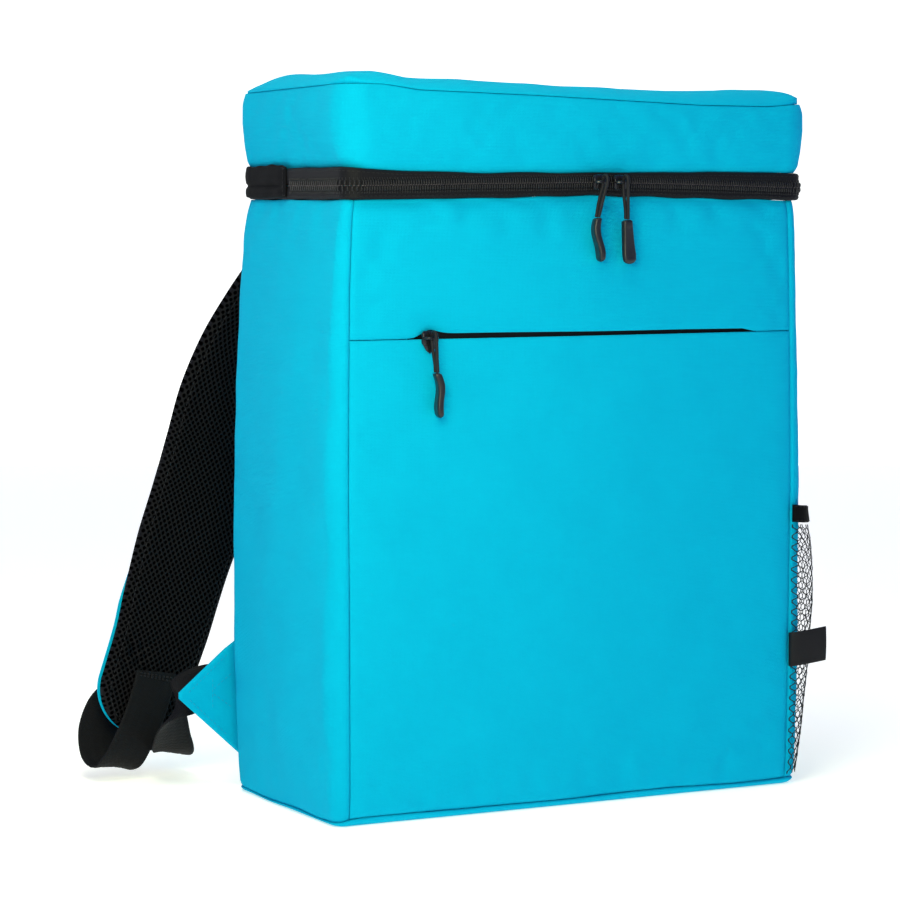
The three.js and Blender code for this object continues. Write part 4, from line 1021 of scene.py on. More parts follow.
# ------------------------------------------------------------------------ lid
def lid_ring(f, u, depth=0.0):
    """Plan of the lid at level f for ring stations u in 0..1, with normals."""
    row = at(LID_ROWS, "f", f)
    a, b, r = row["a"], row["b"], row["r"]
    la, lb, lc = 2 * (a - r), 2 * (b - r), r * PI / 2
    total = 2 * la + 2 * lb + 4 * lc
    d = (u % 1.0) * total
    # from the middle of the back, round by the left side
    d = d + la * 1.5 + lb + 2 * lc
    d = d % total
    x = np.zeros_like(d); y = np.zeros_like(d); nx = np.zeros_like(d); ny = np.zeros_like(d)
    segs = [("f", la), ("c1", lc), ("r", lb), ("c2", lc), ("b", la), ("c3", lc), ("l", lb), ("c4", lc)]
    start = 0 * d
    for kind, length in segs:
        m = (d >= start - 1e-9) & (d < start + length + 1e-9)
        e = d - start
        if kind == "f":
            X, Y, NX, NY = -a + r + e, -b + 0 * e, 0 * e, -1 + 0 * e
        elif kind == "r":
            X, Y, NX, NY = a + 0 * e, -b + r + e, 1 + 0 * e, 0 * e
        elif kind == "b":
            X, Y, NX, NY = a - r - e, b + 0 * e, 0 * e, 1 + 0 * e
        elif kind == "l":
            X, Y, NX, NY = -a + 0 * e, b - r - e, -1 + 0 * e, 0 * e
        else:
            k = int(kind[1])
            ang = {1: -PI / 2, 2: 0, 3: PI / 2, 4: PI}[k] + e / np.maximum(r, 1e-6)
            sx = {1: 1, 2: 1, 3: -1, 4: -1}[k]
            sy = {1: -1, 2: 1, 3: 1, 4: -1}[k]
            X, Y = sx * (a - r) + r * np.cos(ang), sy * (b - r) + r * np.sin(ang)
            NX, NY = np.cos(ang), np.sin(ang)
        x, y = np.where(m, X, x), np.where(m, Y, y)
        nx, ny = np.where(m, NX, nx), np.where(m, NY, ny)
        start = start + length
    return row["cx"] + x - nx * depth, y - ny * depth, nx, ny


def seam_at(x, y):
    row = at(LID_SEAM, "x", x)
    k = np.clip((y + 70) / 140, 0, 1)
    return row["front"] * (1 - k) + row["back"] * k


def lid_level(x, y, f):
    low = edge_high(x, y) + .12
    return low * (1 - f) + (seam_at(x, y) + .12) * f


def lid_top_height(x, y):
    """Height of the puffed top, from its seam inwards."""
    row = at(LID_ROWS, "f", 1.0)
    dx = np.maximum(row["a"] - np.abs(x - row["cx"]), .02)
    dy = np.maximum(row["b"] - np.abs(y), .02)
    depth = (dx ** -3 + dy ** -3) ** (-1 / 3)
    rise = at(LID_CROWN, "x", x)["rise"] * (1 - (1 - np.minimum(1, depth / 22)) ** 2.2)
    rise = rise + 2.3 * np.exp(-((x + 125) / 20) ** 2 - ((y - 36) / 20) ** 2)
    rise = rise * (1 - .9 * np.exp(-((x + 150) / 16) ** 2 - ((y - 60) / 26) ** 2))
    return seam_at(x, y) + GAP + 1.0 + rise, depth


LID_W = waves(91, 58.0, 10)
LID_W2 = waves(92, 24.0, 10)
LID_U = 250
LID_TOTAL = 868.0


def lid_wave(w, s, z):
    """A wave that closes on itself round the lid."""
    k = np.clip((s / LID_TOTAL - .86) / .14, 0, 1)
    k = k * k * (3 - 2 * k)
    return w(s, z) * (1 - k) + w(s - LID_TOTAL, z) * k


def lid_relax():
    J = 132
    u = np.arange(J) / J
    fs = np.linspace(0, 1, 9)
    U, F = np.meshgrid(u, fs, indexing="ij")
    x, y, nx, ny = lid_ring(F, U)
    z = lid_level(x, y, F)
    P1 = np.stack([x, y, z], -1)
    shrink = np.array([.965, .91, .84, .75, .64, .52, .4, .28])
    row = at(LID_ROWS, "f", 1.0)
    rings = []
    for k in shrink:
        X = row["cx"] + (P1[:, -1, 0] - row["cx"]) * (k * .55 + .45 * (1 - (1 - k) * .5))
        Y = P1[:, -1, 1] * k
        Z, _ = lid_top_height(X, Y)
        rings.append(np.stack([X, Y, Z], -1))
    P = np.concatenate([P1, np.stack(rings, 1)], 1)
    pins = np.zeros(P.shape[:2], bool)
    pins[:, 0] = True
    pins[:, 8] = True
    pins[:, -1] = True
    D = relax("lid_relax", P, pins, True, .006, 1.6, 22, 2.2)
    return u, fs, D


LID_FIELD = lid_relax()


def lid_gusset():
    u = (np.arange(LID_U * 2) + .0) / (LID_U * 2)
    f = np.concatenate([[0, .006, .015, .03, .06], np.linspace(.1, .93, 26), [.955, .972, .985, .994, 1.0]])
    U, F = np.meshgrid(u, f, indexing="ij")
    x, y, nx, ny = lid_ring(F, U)
    z = lid_level(x, y, F)
    s = U * LID_TOTAL
    D = np.zeros(x.shape + (3,))
    uf, fs, field = LID_FIELD
    part = field[:, :9]
    part = np.concatenate([part, part[:1]], 0)
    cols = cubic(part, u * len(uf), 0)
    D = cubic(cols, f * 8, 1) * .55
    low_in = edge_roll(F * 45, .45, 1.2)
    seam_in = edge_roll((1 - F) * 45, .45, 1.8)
    d = .26 * lid_wave(LID_W, s, z) + .08 * lid_wave(LID_W2, s, z)
    mid = np.sin(PI * F) ** .6
    pk = .3 * lid_wave(waves(93, 34.0, 6), s, 0 * s) * np.exp(-F * 45 / 9) * (1 - np.exp(-F * 45 / 1.5))
    pk2 = .16 * lid_wave(waves(94, 26.0, 6), s, 0 * s) * np.exp(-(1 - F) * 45 / 8) * (1 - np.exp(-(1 - F) * 45 / 1.5))
    depth = low_in + seam_in + d * mid + pk + pk2
    outer = np.stack([x - nx * depth, y - ny * depth, z], -1) + D
    inner = np.stack([x - nx * LID_WALL, y - ny * LID_WALL, z], -1)
    uv = np.stack([s, z], -1)
    # the weave's map starts at the middle of the back, where its ends meet
    ob = slab("lid_wall_cloth", outer, inner, CYAN, uv, ring=True, nodes=["lid_gusset"])


lid_gusset()


def lid_top():
    n = 150, 76
    p = np.sin(np.linspace(-PI / 2, PI / 2, n[0]) * .999) * .35 + np.linspace(-1, 1, n[0]) * .65
    q = np.sin(np.linspace(-PI / 2, PI / 2, n[1]) * .999) * .35 + np.linspace(-1, 1, n[1]) * .65
    p[0], p[-1], q[0], q[-1] = -1, 1, -1, 1
    Pg, Qg = np.meshgrid(p, q, indexing="ij")
    row = at(LID_ROWS, "f", 1.0)
    a, b, r = float(row["a"]), float(row["b"]), float(row["r"])
    # Round the corners of the plan by pulling points towards the corner centre.
    X, Y = Pg * a, Qg * b
    ex, ey = np.maximum(np.abs(X) - (a - 3 * r), 0) / (3 * r), np.maximum(np.abs(Y) - (b - 3 * r), 0) / (3 * r)
    m = np.maximum(ex, ey)
    R = np.where(m > 0, m, 1)
    # superellipse radius that meets a corner circle of radius r
    k = 5.2
    norm = (ex ** k + ey ** k) ** (1 / k)
    scale = np.where(norm > 1e-6, m / np.maximum(norm, 1e-6), 1)
    X = np.sign(X) * np.where(ex > 0, (a - 3 * r) + ex * scale * 3 * r, np.abs(X))
    Y = np.sign(Y) * np.where(ey > 0, (b - 3 * r) + ey * scale * 3 * r, np.abs(Y))
    X = X + float(row["cx"])
    Z, depth = lid_top_height(X, Y)
    edge = np.minimum(1 - np.abs(Pg), (1 - np.abs(Qg)))
    dist = np.minimum((1 - np.abs(Pg)) * a, (1 - np.abs(Qg)) * b)
    w = .4 * LID_W(X * 1.1 + 400, Y) + .1 * LID_W2(X + 300, Y)
    pk = .2 * waves(95, 30.0, 6)(X + Y * 1.7, 0 * X) * np.exp(-dist / 9)
    Z = Z - (w + pk) * (1 - np.exp(-dist / 4))
    # roll down to the seam at the edge
    Z = Z - .7 * np.exp(-(dist / 2.0) ** 1.5)
    outer = np.stack([X, Y, Z], -1)
    under_z = seam_at(X, Y) + GAP - .04 * np.maximum(0, dist - 4) + .02
    inner = np.stack([X, Y, under_z], -1)
    inner[..., 2] = np.minimum(inner[..., 2], outer[..., 2] - .15)
    uv = np.stack([X, Y], -1)
    ob = slab("lid_top_cloth", outer, inner, CYAN, uv, nodes=["lid_top"])


lid_top()

# -------------------------------------------------------------- pocket zipper
t = np.linspace(0, 1, 60)
x = -104 + 221 * t
s_pocket = at(WALL_ROWS, "z", POCKET_Z)
y = -(s_pocket["b"] + s_pocket["front"] * hump(x / (s_pocket["a"] - s_pocket["rF"])))
prof = [(2.3, -4), (2.3, 1), (2.2, 3), (2.3, 6.5), (3.0, 6.5), (3.0, -4)]
S = np.stack([np.stack([x, y + d, POCKET_Z + h + 0 * x], -1) for d, h in prof], 1)
loft("pocket_zip_cloth", S, TAPE, np.stack([S[..., 0], S[..., 2]], -1), slot="black_cloth", nodes=["pocket_zip_tape"])


# ------------------------------------------------------------------- net pocket
def net_surface(v, z, extra=0.0):
    """Points of the net: v from 0 at the front seam to 1 at the back seam, height z."""
    share = .125
    q = np.where(v < share, v / share, 1 + (v - share) / (1 - share) * 1.0)
    z = z + 0 * v
    q2 = np.where(v < share, v / share, 1 + (v - share) / (1 - share) * 2 * .55)
    # the back corner is part of the last stretch
    q2 = np.where(v > .86, 2 + (v - .86) / .14, np.where(v < share, v / share, 1 + (v - share) / (.86 - share)))
    P, N = side_points(z, q2, 1)
    out = .7 + np.interp(z, NET_ROWS["z"], NET_ROWS["out"]) * np.sin(PI * np.clip(v, 0, 1)) ** .8 + extra
    zz = z - NET_SAG * (z / 162) ** 2 * np.sin(PI * v)
    Q = P + N * np.asarray(out)[..., None]
    Q[..., 2] = zz
    return Q, N


def net():
    c, p, bar = 3.05, 6.2, 1.3
    probe_v = np.linspace(0, 1, 400)
    line, _ = net_surface(probe_v, np.full(400, 90.0))
    s = np.concatenate([[0], np.cumsum(np.linalg.norm(np.diff(line, axis=0), axis=1))])
    ncol = int(s[-1] / c)
    cols = np.linspace(0, s[-1], ncol + 1)
    col_v = np.interp(cols, s, probe_v)
    r = np.random.default_rng(5)
    nodes = {}
    z0, z1 = 7.2, 151.0
    nrow = int((z1 - z0) / p)
    starts, ends, rad = [], [], []
    jit = r.normal(0, .16, (ncol + 2, 2 * nrow + 6, 2))

    def pt(k, l2, dz):
        z = z0 + l2 * p / 2 + dz
        return (k, min(max(z, z0 - .4), z1 + .6), jit[k, l2 % jit.shape[1], 0], jit[k, l2 % jit.shape[1], 1])
    pts, segs, widths = [], [], []
    for k in range(ncol + 1):
        for l2 in range(k % 2, 2 * nrow + 3, 2):
            a, b = pt(k, l2, -bar / 2), pt(k, l2, bar / 2)
            if z0 + l2 * p / 2 > z1 + 1:
                continue
            pts += [a, b]
            segs.append((len(pts) - 2, len(pts) - 1)); widths.append(.47)
            if k < ncol:
                z = z0 + (l2 + 1) * p / 2
                if z <= z1 + 1:
                    n = pt(k + 1, l2 + 1, -bar / 2)
                    pts += [b, n]; segs.append((len(pts) - 2, len(pts) - 1)); widths.append(.33)
                if l2 - 1 >= 0:
                    n = pt(k + 1, l2 - 1, bar / 2)
                    pts += [a, n]; segs.append((len(pts) - 2, len(pts) - 1)); widths.append(.33)
    pts = np.array(pts)
    segs = np.array(segs)
    widths = np.array(widths)
    kk = pts[:, 0] + pts[:, 2] * .6
    v = np.interp(kk, np.arange(ncol + 1), col_v)
    wav = waves(7, 40.0, 7)
    P, N = net_surface(v, pts[:, 1] + pts[:, 3], .55 + .5 * wav(kk * c, pts[:, 1]) * np.sin(PI * v) ** .5)
    A, B = P[segs[:, 0]], P[segs[:, 1]]
    NA = unit(N[segs[:, 0]] + N[segs[:, 1]])
    X = B - A
    L = np.linalg.norm(X, axis=1, keepdims=True)
    X = X / np.maximum(L, 1e-6)
    Y = unit(np.cross(NA, X))
    Z = unit(np.cross(X, Y))
    # each strand: four-sided, with rounded ends, a little flattened
    sides = 4
    verts, faces = [], []
    for x, rr in ((-.5, .55), (-.42, 1.0), (0, .86), (.42, 1.0), (.5, .55)):
        for i in range(sides):
            a = 2 * PI * i / sides
            verts.append((x, rr * math.cos(a), rr * math.sin(a)))
    for k in range(4):
        o = k * sides
        faces += [(o + i, o + (i + 1) % sides, o + sides + (i + 1) % sides, o + sides + i) for i in range(sides)]
    faces += [tuple(range(sides))[::-1], tuple(4 * sides + i for i in range(sides))]
    return many("net_strands", verts, faces, (A + B) / 2, X * (L + .5), Y * widths[:, None], Z * (widths * .72)[:, None], NET,
                slot="net", nodes=["mesh_pocket_net"])


net_ob = net()


def net_binding():
    v = np.concatenate([np.linspace(0, .12, 10), np.linspace(.14, .86, 90), np.linspace(.875, 1, 12)])
    zc = np.array([152.0, 152.25, 152.9, 154.5, 156, 157, 158, 159.5, 161.1, 161.75, 162.0])
    lift = np.array([.0, .55, .8, .9, .8, .85, .8, .9, .8, .55, 0])
    V, Z = np.meshgrid(v, zc, indexing="ij")
    rib = waves(8, 13.0, 7)
    ex = 1.15 + lift[None] + .18 * rib(V * 200, Z)
    outer, N = net_surface(V, Z, 0)
    outer = outer + N * ex[..., None]
    inner, _ = net_surface(V, Z, .1)
    s0, _ = sides_of(outer)
    uv = np.stack([s0, Z], -1)
    ob = slab("net_pocket_binding", outer, inner, BLACK_WEAVE, uv, slot="black_cloth", nodes=["mesh_pocket_binding"])
    lines = []
    for k in (2, -3):
        lines.append(stitch_line(outer[:, k] + N[:, k] * .12, N[:, k], 1.9, .9))
    stitches("net_binding_stitches", *join_lines(lines), .25, THREAD, slot="black_cloth")
    # thin edge tape where the net is sewn into the back seam
    for tag, vv in (("back", .996),):
        zz = np.linspace(6.5, 152, 60)
        P, Nn = net_surface(np.full(60, vv), zz, .3)
        T = unit(np.gradient(P, axis=0))
        B = unit(np.cross(Nn, T))
        sec = [(-.7, -.35), (-.7, .3), (0, .5), (.7, .3), (.7, -.35)]
        S = np.stack([P + B * a + Nn * b for a, b in sec], 1)
        loft(f"net_edge_{tag}", S, NET, slot="net")


net_binding()


# ----------------------------------------------------------------- seam label
def label():
    rows_ = np.array([[138.2, -71.2, 0], [138.9, -73.1, .1], [143, -75.2, .8], [150, -77.0, 1.9], [158.8, -78.3, 3.2]])
    u = np.linspace(0, 4, 40)
    line = cubic(rows_, u, 0)
    h = np.concatenate([[0, .15, .4, .8], np.linspace(1.4, 18.2, 26), [18.8, 19.2, 19.45, 19.6]])
    U, H = np.meshgrid(np.arange(len(u)), h, indexing="ij")
    s = np.concatenate([[0], np.cumsum(np.linalg.norm(np.diff(line, axis=0), axis=1))])
    base_ = line[U]
    edge = np.minimum(H, 19.6 - H)
    tip = (s[-1] - s)[U]
    rim = .32 * np.exp(-(edge / .35) ** 2) + .32 * np.exp(-(tip / .4) ** 2)
    bend = .35 * np.sin(H / 19.6 * PI) * (U / 39) ** 2 * 1.4
    half = .5 - rim * .9
    border = .07 * np.exp(-((edge - 1.5) / .35) ** 2) + .07 * np.exp(-((tip - 1.5) / .35) ** 2)
    off = lambda d: np.stack([base_[..., 0] + .25 * d, base_[..., 1] + d - bend, 69 + base_[..., 2] + H], -1)
    outer, inner = off(-(half + border)), off(half + border)
    uv = np.stack([s[U], H], -1)
    ob = slab("seam_label_cloth", outer, inner, LABEL_WEAVE, uv, sharp=50, slot="black_cloth", nodes=["seam_label"])


label()


# --------------------------------------------------------------- soft sweeps
class Curve:
    """Centripetal curve through points, read by distance."""

    def __init__(self, pts):
        pts = np.asarray(pts, float)
        self.pts, self.n = pts, len(pts)
        ext = np.concatenate([[2 * pts[0] - pts[1]], pts, [2 * pts[-1] - pts[-2]]])
        self.coef = []
        for i in range(self.n - 1):
            p0, p1, p2, p3 = ext[i], ext[i + 1], ext[i + 2], ext[i + 3]
            d0, d1, d2 = (max(((b - a) ** 2).sum() ** .25, 1e-6) for a, b in ((p0, p1), (p1, p2), (p2, p3)))
            t1 = ((p1 - p0) / d0 - (p2 - p0) / (d0 + d1) + (p2 - p1) / d1) * d1
            t2 = ((p2 - p1) / d1 - (p3 - p1) / (d1 + d2) + (p3 - p2) / d2) * d1
            self.coef.append((p1, t1, -3 * p1 + 3 * p2 - 2 * t1 - t2, 2 * p1 - 2 * p2 + t1 + t2))
        k = np.linspace(0, 1, 4001)
        P = self.point(k)
        self.k = k
        self.s = np.concatenate([[0], np.cumsum(np.linalg.norm(np.diff(P, axis=0), axis=1))])
        self.length = self.s[-1]

    def _seg(self, k):
        x = np.clip(k, 0, 1) * (self.n - 1)
        i = np.minimum(x.astype(int), self.n - 2)
        return i, (x - i)[:, None]

    def point(self, k):
        i, f = self._seg(np.asarray(k, float))
        c = np.array(self.coef)[i]
        return c[:, 0] + f * (c[:, 1] + f * (c[:, 2] + f * c[:, 3]))

    def tangent(self, k):
        i, f = self._seg(np.asarray(k, float))
        c = np.array(self.coef)[i]
        return unit(c[:, 1] + f * (2 * c[:, 2] + 3 * f * c[:, 3]))

    def at(self, s):
        return np.interp(s, self.s, self.k)


def sweep(table, s, hint=None):
    curve = Curve(np.stack([table["x"], table["y"], table["z"]], 1))
    k = curve.at(s)
    P, T = curve.point(k), curve.tangent(k)
    idx = k * (curve.n - 1)
    row = {n: np.interp(idx, np.arange(curve.n), col) for n, col in table.items()}
    H = np.repeat(np.array([[1.0, 0, 0]]), len(s), 0) if hint is None else np.stack([row["wx"], row["wy"], row["wz"]], 1)
    # smooth the width direction along the sweep
    W = unit(H - T * (H * T).sum(1, keepdims=True))
    N = np.cross(T, W)
    return dict(P=P, T=T, W=W, N=N, row=row, left=curve.length - s, length=curve.length, s=s)


def mirrored(P, side):
    return P * np.array([side, 1.0, 1.0])


STRAP_LEN = Curve(np.stack([STRAP_ROWS["x"], STRAP_ROWS["y"], STRAP_ROWS["z"]], 1)).length


def strap_half(fr, extra):
    half = fr["row"]["width"] / 2
    t = np.clip(1 - fr["left"] / TONGUE, 0, 1)
    return np.maximum(1.5, half * np.sqrt(np.maximum(0, 1 - t * t))) + extra


def strap(side, label_):
    step = .8
    s = np.concatenate([np.arange(0, STRAP_LEN - 6, step), STRAP_LEN - np.array([5.2, 4.4, 3.6, 2.9, 2.3, 1.7, 1.2, .8, .5, .3, .15])])
    fr = sweep(STRAP_ROWS, s)
    half = strap_half(fr, 0)
    ncol = 84
    w = np.linspace(-1, 1, ncol)
    w = np.sign(w) * (1 - (1 - np.abs(w)) ** 1.12)
    Wm = half[:, None] * w[None]
    edge = half[:, None] - np.abs(Wm)
    # puffed section, softly rounded at its edges
    depth = 3.8
    soft = np.where(edge < 7, (1 - np.clip(edge / 7, 0, 1)) ** 2.2, 0)
    level = depth * (1 - .86 * soft)
    # spacer net: oval holes in staggered rows
    px, py = HOLE_U, HOLE_V
    S_ = s[:, None] + 0 * Wm
    row_ = np.floor(S_ / (py / 2) + .5)
    ux = (Wm / px + .5 * (row_ % 2))
    fx = (ux - np.floor(ux) - .5) * px
    fy = (S_ / (py / 2) - row_) * (py / 2)
    best = 0 * Wm
    for dr in (-1, 0, 1):
        rr = row_ + dr
        ux = Wm / px + .5 * (rr % 2)
        fx = (ux - np.round(ux)) * px
        fy = S_ - rr * (py / 2)
        best = np.maximum(best, np.exp(-((fx / .95) ** 2 + (fy / 1.15) ** 2) ** 1.6))
    body = np.clip((edge - 1.6) / 1.5, 0, 1)
    # the net is pressed in under the stitched box near the lower end
    hole = 1.0 * best * body
    box_d = fr["left"][:, None]
    press = np.exp(-((box_d - 44) / 10) ** 6 - ((Wm + 13) / 10.5) ** 6)
    bx, by = (Wm + 13) / 10.5, (box_d - 44) / 10
    cross = np.exp(-((np.abs(bx) - np.abs(by)) / .2) ** 2) * (np.abs(bx) < 1) * (np.abs(by) < 1)
    ripple = waves(101 if side > 0 else 102, 34.0, 8)
    level = level - hole * (1 - .6 * press) - .7 * press - 1.2 * cross * press + .7 * press * np.sin(bx * 7) * np.cos(by * 6) + .22 * ripple(Wm, S_) * body
    channel = .55 * np.exp(-((edge - 4.2) / .8) ** 2)
    level = level - channel
    face = fr["P"][:, None] + fr["W"][:, None] * Wm[..., None] + fr["N"][:, None] * level[..., None]
    # plain back with few columns
    wb = np.array([-1, -.9, -.5, 0, .5, .9, 1.0])
    Wb = half[:, None] * wb[None]
    back = fr["P"][:, None] + fr["W"][:, None] * Wb[..., None] + fr["N"][:, None] * np.full(Wb.shape, -depth)[..., None]
    J, I, K = len(s), ncol, len(wb)
    a = np.arange(J * I).reshape(J, I)
    b = J * I + np.arange(J * K).reshape(J, K)
    faces = [np.stack([a[:-1, :-1], a[1:, :-1], a[1:, 1:], a[:-1, 1:]], -1).reshape(-1, 4),
             np.stack([b[:-1, :-1], b[:-1, 1:], b[1:, 1:], b[1:, :-1]], -1).reshape(-1, 4),
             np.stack([a[:-1, 0], b[:-1, 0], b[1:, 0], a[1:, 0]], -1),
             np.stack([a[:-1, -1], a[1:, -1], b[1:, -1], b[:-1, -1]], -1)]
    faces = np.concatenate(faces).tolist()
    faces.append(a[0].tolist() + b[0, ::-1].tolist())
    faces.append(a[-1, ::-1].tolist() + b[-1].tolist())
    verts = mirrored(np.concatenate([face.reshape(-1, 3), back.reshape(-1, 3)]), side)
    uv = np.concatenate([np.stack([Wm, S_], -1).reshape(-1, 2), np.stack([Wb, s[:, None] + 0 * Wb], -1).reshape(-1, 2)])
    ob = put(f"strap_padding_{label_}", verts, faces, SPACER, uv, sharp=62, slot="net", nodes=[f"strap_pad_{label_}"])

    # cloth cover with a soft rolled edge
    s2 = np.concatenate([np.arange(0, STRAP_LEN - 10, 2.4), STRAP_LEN - np.array([9, 7.6, 6.2, 5, 3.9, 2.9, 2, 1.3, .8, .4, .15])])
    fc = sweep(STRAP_ROWS, s2)
    hc = strap_half(fc, COVER_EXTRA) - 4.4 * np.clip((fc["P"][:, 2] - 92) / 40, 0, 1)
    wc = np.array([-1, -.985, -.95, -.9, -.8, -.6, -.3, 0, .3, .6, .8, .9, .95, .985, 1])
    Wc = hc[:, None] * wc[None]
    e = (hc[:, None] - np.abs(Wc))
    roll = np.exp(-(e / 1.2) ** 2)
    wv = waves(111 if side > 0 else 112, 46.0, 8)
    out_l = -PAD / 2 - .5 - COVER + .75 * roll + .25 * wv(Wc, s2[:, None] + 0 * Wc) * (1 - roll)
    in_l = -PAD / 2 - .45 - .35 * roll
    place = lambda lv: mirrored(fc["P"][:, None] + fc["W"][:, None] * Wc[..., None] + fc["N"][:, None] * lv[..., None], side)
    uvc = np.stack([Wc, s2[:, None] + 0 * Wc], -1)
    ob = slab(f"strap_cloth_{label_}", place(out_l), place(in_l), CYAN, uvc, slot="cloth", nodes=[f"strap_cover_{label_}"])
    # edge seam of the padding
    lines = []
    keep = fr["left"] > 1.2
    for sg in (-1, 1):
        ww = sg * np.maximum(half - 4.2, .3)
        lv = depth * .96 - .42
        line = fr["P"] + fr["W"] * ww[:, None] + fr["N"] * lv
        lines.append(stitch_line(mirrored(line[keep], side), mirrored(fr["N"][keep], side), 2.3, 1.0))
    stitches(f"strap_stitches_{label_}", *join_lines(lines), .3, THREAD, slot="black_cloth")


def ribbon(name, table, width, side, node_name, thick=1.5, start=.01):
    curve = Curve(np.stack([table["x"], table["y"], table["z"]], 1))
    n = int(curve.length / .78)
    s = np.linspace(start, curve.length - .01, n)
    fr = sweep(table, s, hint=True)
    w = np.concatenate([[-1, -.985, -.955], np.linspace(-.92, .92, 24), [.955, .985, 1]]) * width / 2
    Wm = np.repeat(w[None], n, 0)
    S_ = s[:, None] + 0 * Wm
    edge = width / 2 - np.abs(Wm)
    rnd = .42 * np.exp(-(edge / .45) ** 2)
    rib = .13 * np.sin(PI * (S_ + np.abs(((Wm + 100) % 6.2) - 3.1)) / .95 * .62) * np.clip(edge / 1.2, 0, 1)
    half = thick / 2 - rnd
    place = lambda lv: mirrored(fr["P"][:, None] + fr["W"][:, None] * Wm[..., None] + fr["N"][:, None] * lv[..., None], side)
    uv = np.stack([Wm, S_], -1)
    ob = slab(name, place(half + rib), place(-half + rib), WEBBING, uv, sharp=60, slot="webbing", nodes=[node_name])
    return fr


def box_stitch(fr, side, s0, s1, half_w, face, count=None):
    """A box with a cross in it, sewn through a ribbon between distances s0 and s1."""
    def pos(s, w):
        P = np.stack([np.interp(s, fr["s"], fr["P"][:, k]) for k in range(3)], 1)
        W = np.stack([np.interp(s, fr["s"], fr["W"][:, k]) for k in range(3)], 1)
        N = np.stack([np.interp(s, fr["s"], fr["N"][:, k]) for k in range(3)], 1)
        return mirrored(P + W * np.asarray(w)[:, None] + N * face, side), mirrored(N * np.sign(face), side)
    k = np.linspace(0, 1, 40)
    lines = []
    for (sa, wa), (sb, wb) in (((s0, -half_w), (s1, -half_w)), ((s0, half_w), (s1, half_w)), ((s0, -half_w), (s0, half_w)),
                               ((s1, -half_w), (s1, half_w)), ((s0, -half_w), (s1, half_w)), ((s0, half_w), (s1, -half_w))):
        P, N = pos(sa + (sb - sa) * k, wa + (wb - wa) * k)
        lines.append(stitch_line(P, N, 1.7, .7))
    return lines


def tab(side, label_):
    n = 46
    xs = np.linspace(-178.4, -126, n)
    r = at(TAB_ROWS, "x", xs)
    v = np.concatenate([[0, .012, .03, .06], np.linspace(.1, .9, 26), [.94, .97, .988, 1]])
    Z = r["low"][:, None] + (r["high"] - r["low"])[:, None] * v[None]
    X = np.repeat(xs[:, None], len(v), 1)
    e = np.minimum(np.minimum(Z - r["low"][:, None], r["high"][:, None] - Z) * .75, np.abs(X + 178.4) + .2)
    rnd = .75 * np.exp(-(e / .8) ** 2)
    wv = waves(121, 30.0, 8)
    Y0 = r["y"][:, None] + 0 * Z
    ripple = .3 * wv(X, Z) * np.clip(e / 4, 0, 1)
    front = Y0 + rnd + .05 + ripple * .6
    backy = Y0 + TAB_THICK - rnd + ripple * .4
    outer = mirrored(np.stack([X, backy, Z], -1), side)
    inner = mirrored(np.stack([X, front, Z], -1), side)
    uv = np.stack([X, Z], -1)
    ob = slab(f"strap_tab_cloth_{label_}", outer, inner, CYAN, uv, sharp=70, slot="cloth", nodes=[f"strap_tab_{label_}"])
    lines = []
    k = np.linspace(0, 1, 60)
    def seg(x0, z0, x1, z1, yoff):
        P = np.stack([x0 + (x1 - x0) * k, np.full(60, 72.5 + yoff), z0 + (z1 - z0) * k], 1)
        N = np.repeat([[0, -1.0 if yoff < 1 else 1.0, 0]], 60, 0)
        return stitch_line(mirrored(P, side), mirrored(N, side), 2.0, .9)
    for yoff in (-.05, TAB_THICK + .05):
        lines += [seg(-173, 56.2, -149, 76.6, yoff), seg(-173, 52.9, -149, 30.2, yoff), seg(-158, 45.5, -158, 64.5, yoff),
                  seg(-146, 46, -158, 55, yoff), seg(-146, 66, -158, 57, yoff)]
    stitches(f"strap_tab_stitches_{label_}", *join_lines(lines), .24, CYAN_THREAD, slot="cloth")


def rounded_box(lo, hi, r, seg=3):
    """Box with rounded edges as points and faces."""
    bm = bpy.data.meshes.new("tmp")
    import bmesh
    b = bmesh.new()
    bmesh.ops.create_cube(b, size=1)
    lo, hi = np.array(lo, float), np.array(hi, float)
    for vtx in b.verts:
        vtx.co = Vector(((lo + hi) / 2 + np.array(vtx.co) * (hi - lo)).tolist())
    bmesh.ops.bevel(b, geom=b.edges[:], offset=r, segments=seg, profile=.5, affect="EDGES", clamp_overlap=True)
    verts = np.array([v.co[:] for v in b.verts])
    faces = [[v.index for v in f.verts] for f in b.faces]
    b.free()
    bpy.data.meshes.remove(bm)
    return verts, faces


def merged(parts):
    verts, faces, n = [], [], 0
    for v, f in parts:
        verts.append(v)
        faces += [[i + n for i in g] for g in f]
        n += len(v)
    return np.concatenate(verts), faces


def ladder_lock(side, label_):
    w, h, t = LOCK["width"] / 2, LOCK["height"] / 2, LOCK["thick"]
    parts = []
    for sx in (-1, 1):
        parts.append(rounded_box((sx * w - (0 if sx < 0 else 3.2), 0, -h), (sx * w + (3.2 if sx < 0 else 0), t, h), 1.2))
    for z0, z1, d in ((-h, -12, .2), (-7, -2.5, .9), (2.5, 7, .9), (12, h, .2)):
        parts.append(rounded_box((-w + 1.4, d, z0), (w - 1.4, t - d * .2, z1), 1.0))
    # small teeth on the gripping bar
    for i in range(9):
        x0 = -10.5 + i * 2.5
        parts.append(rounded_box((x0, t - .5, 6.4), (x0 + 1.1, t + .25, 7.4), .25, 1))
    verts, faces = merged(parts)
    verts = verts + np.array([LOCK["x"], LOCK["y"], LOCK["z"]])
    put(f"ladder_lock_body_{label_}", mirrored(verts, side), faces, PLASTIC, sharp=40, slot="black_plastic", nodes=[f"ladder_lock_{label_}"])


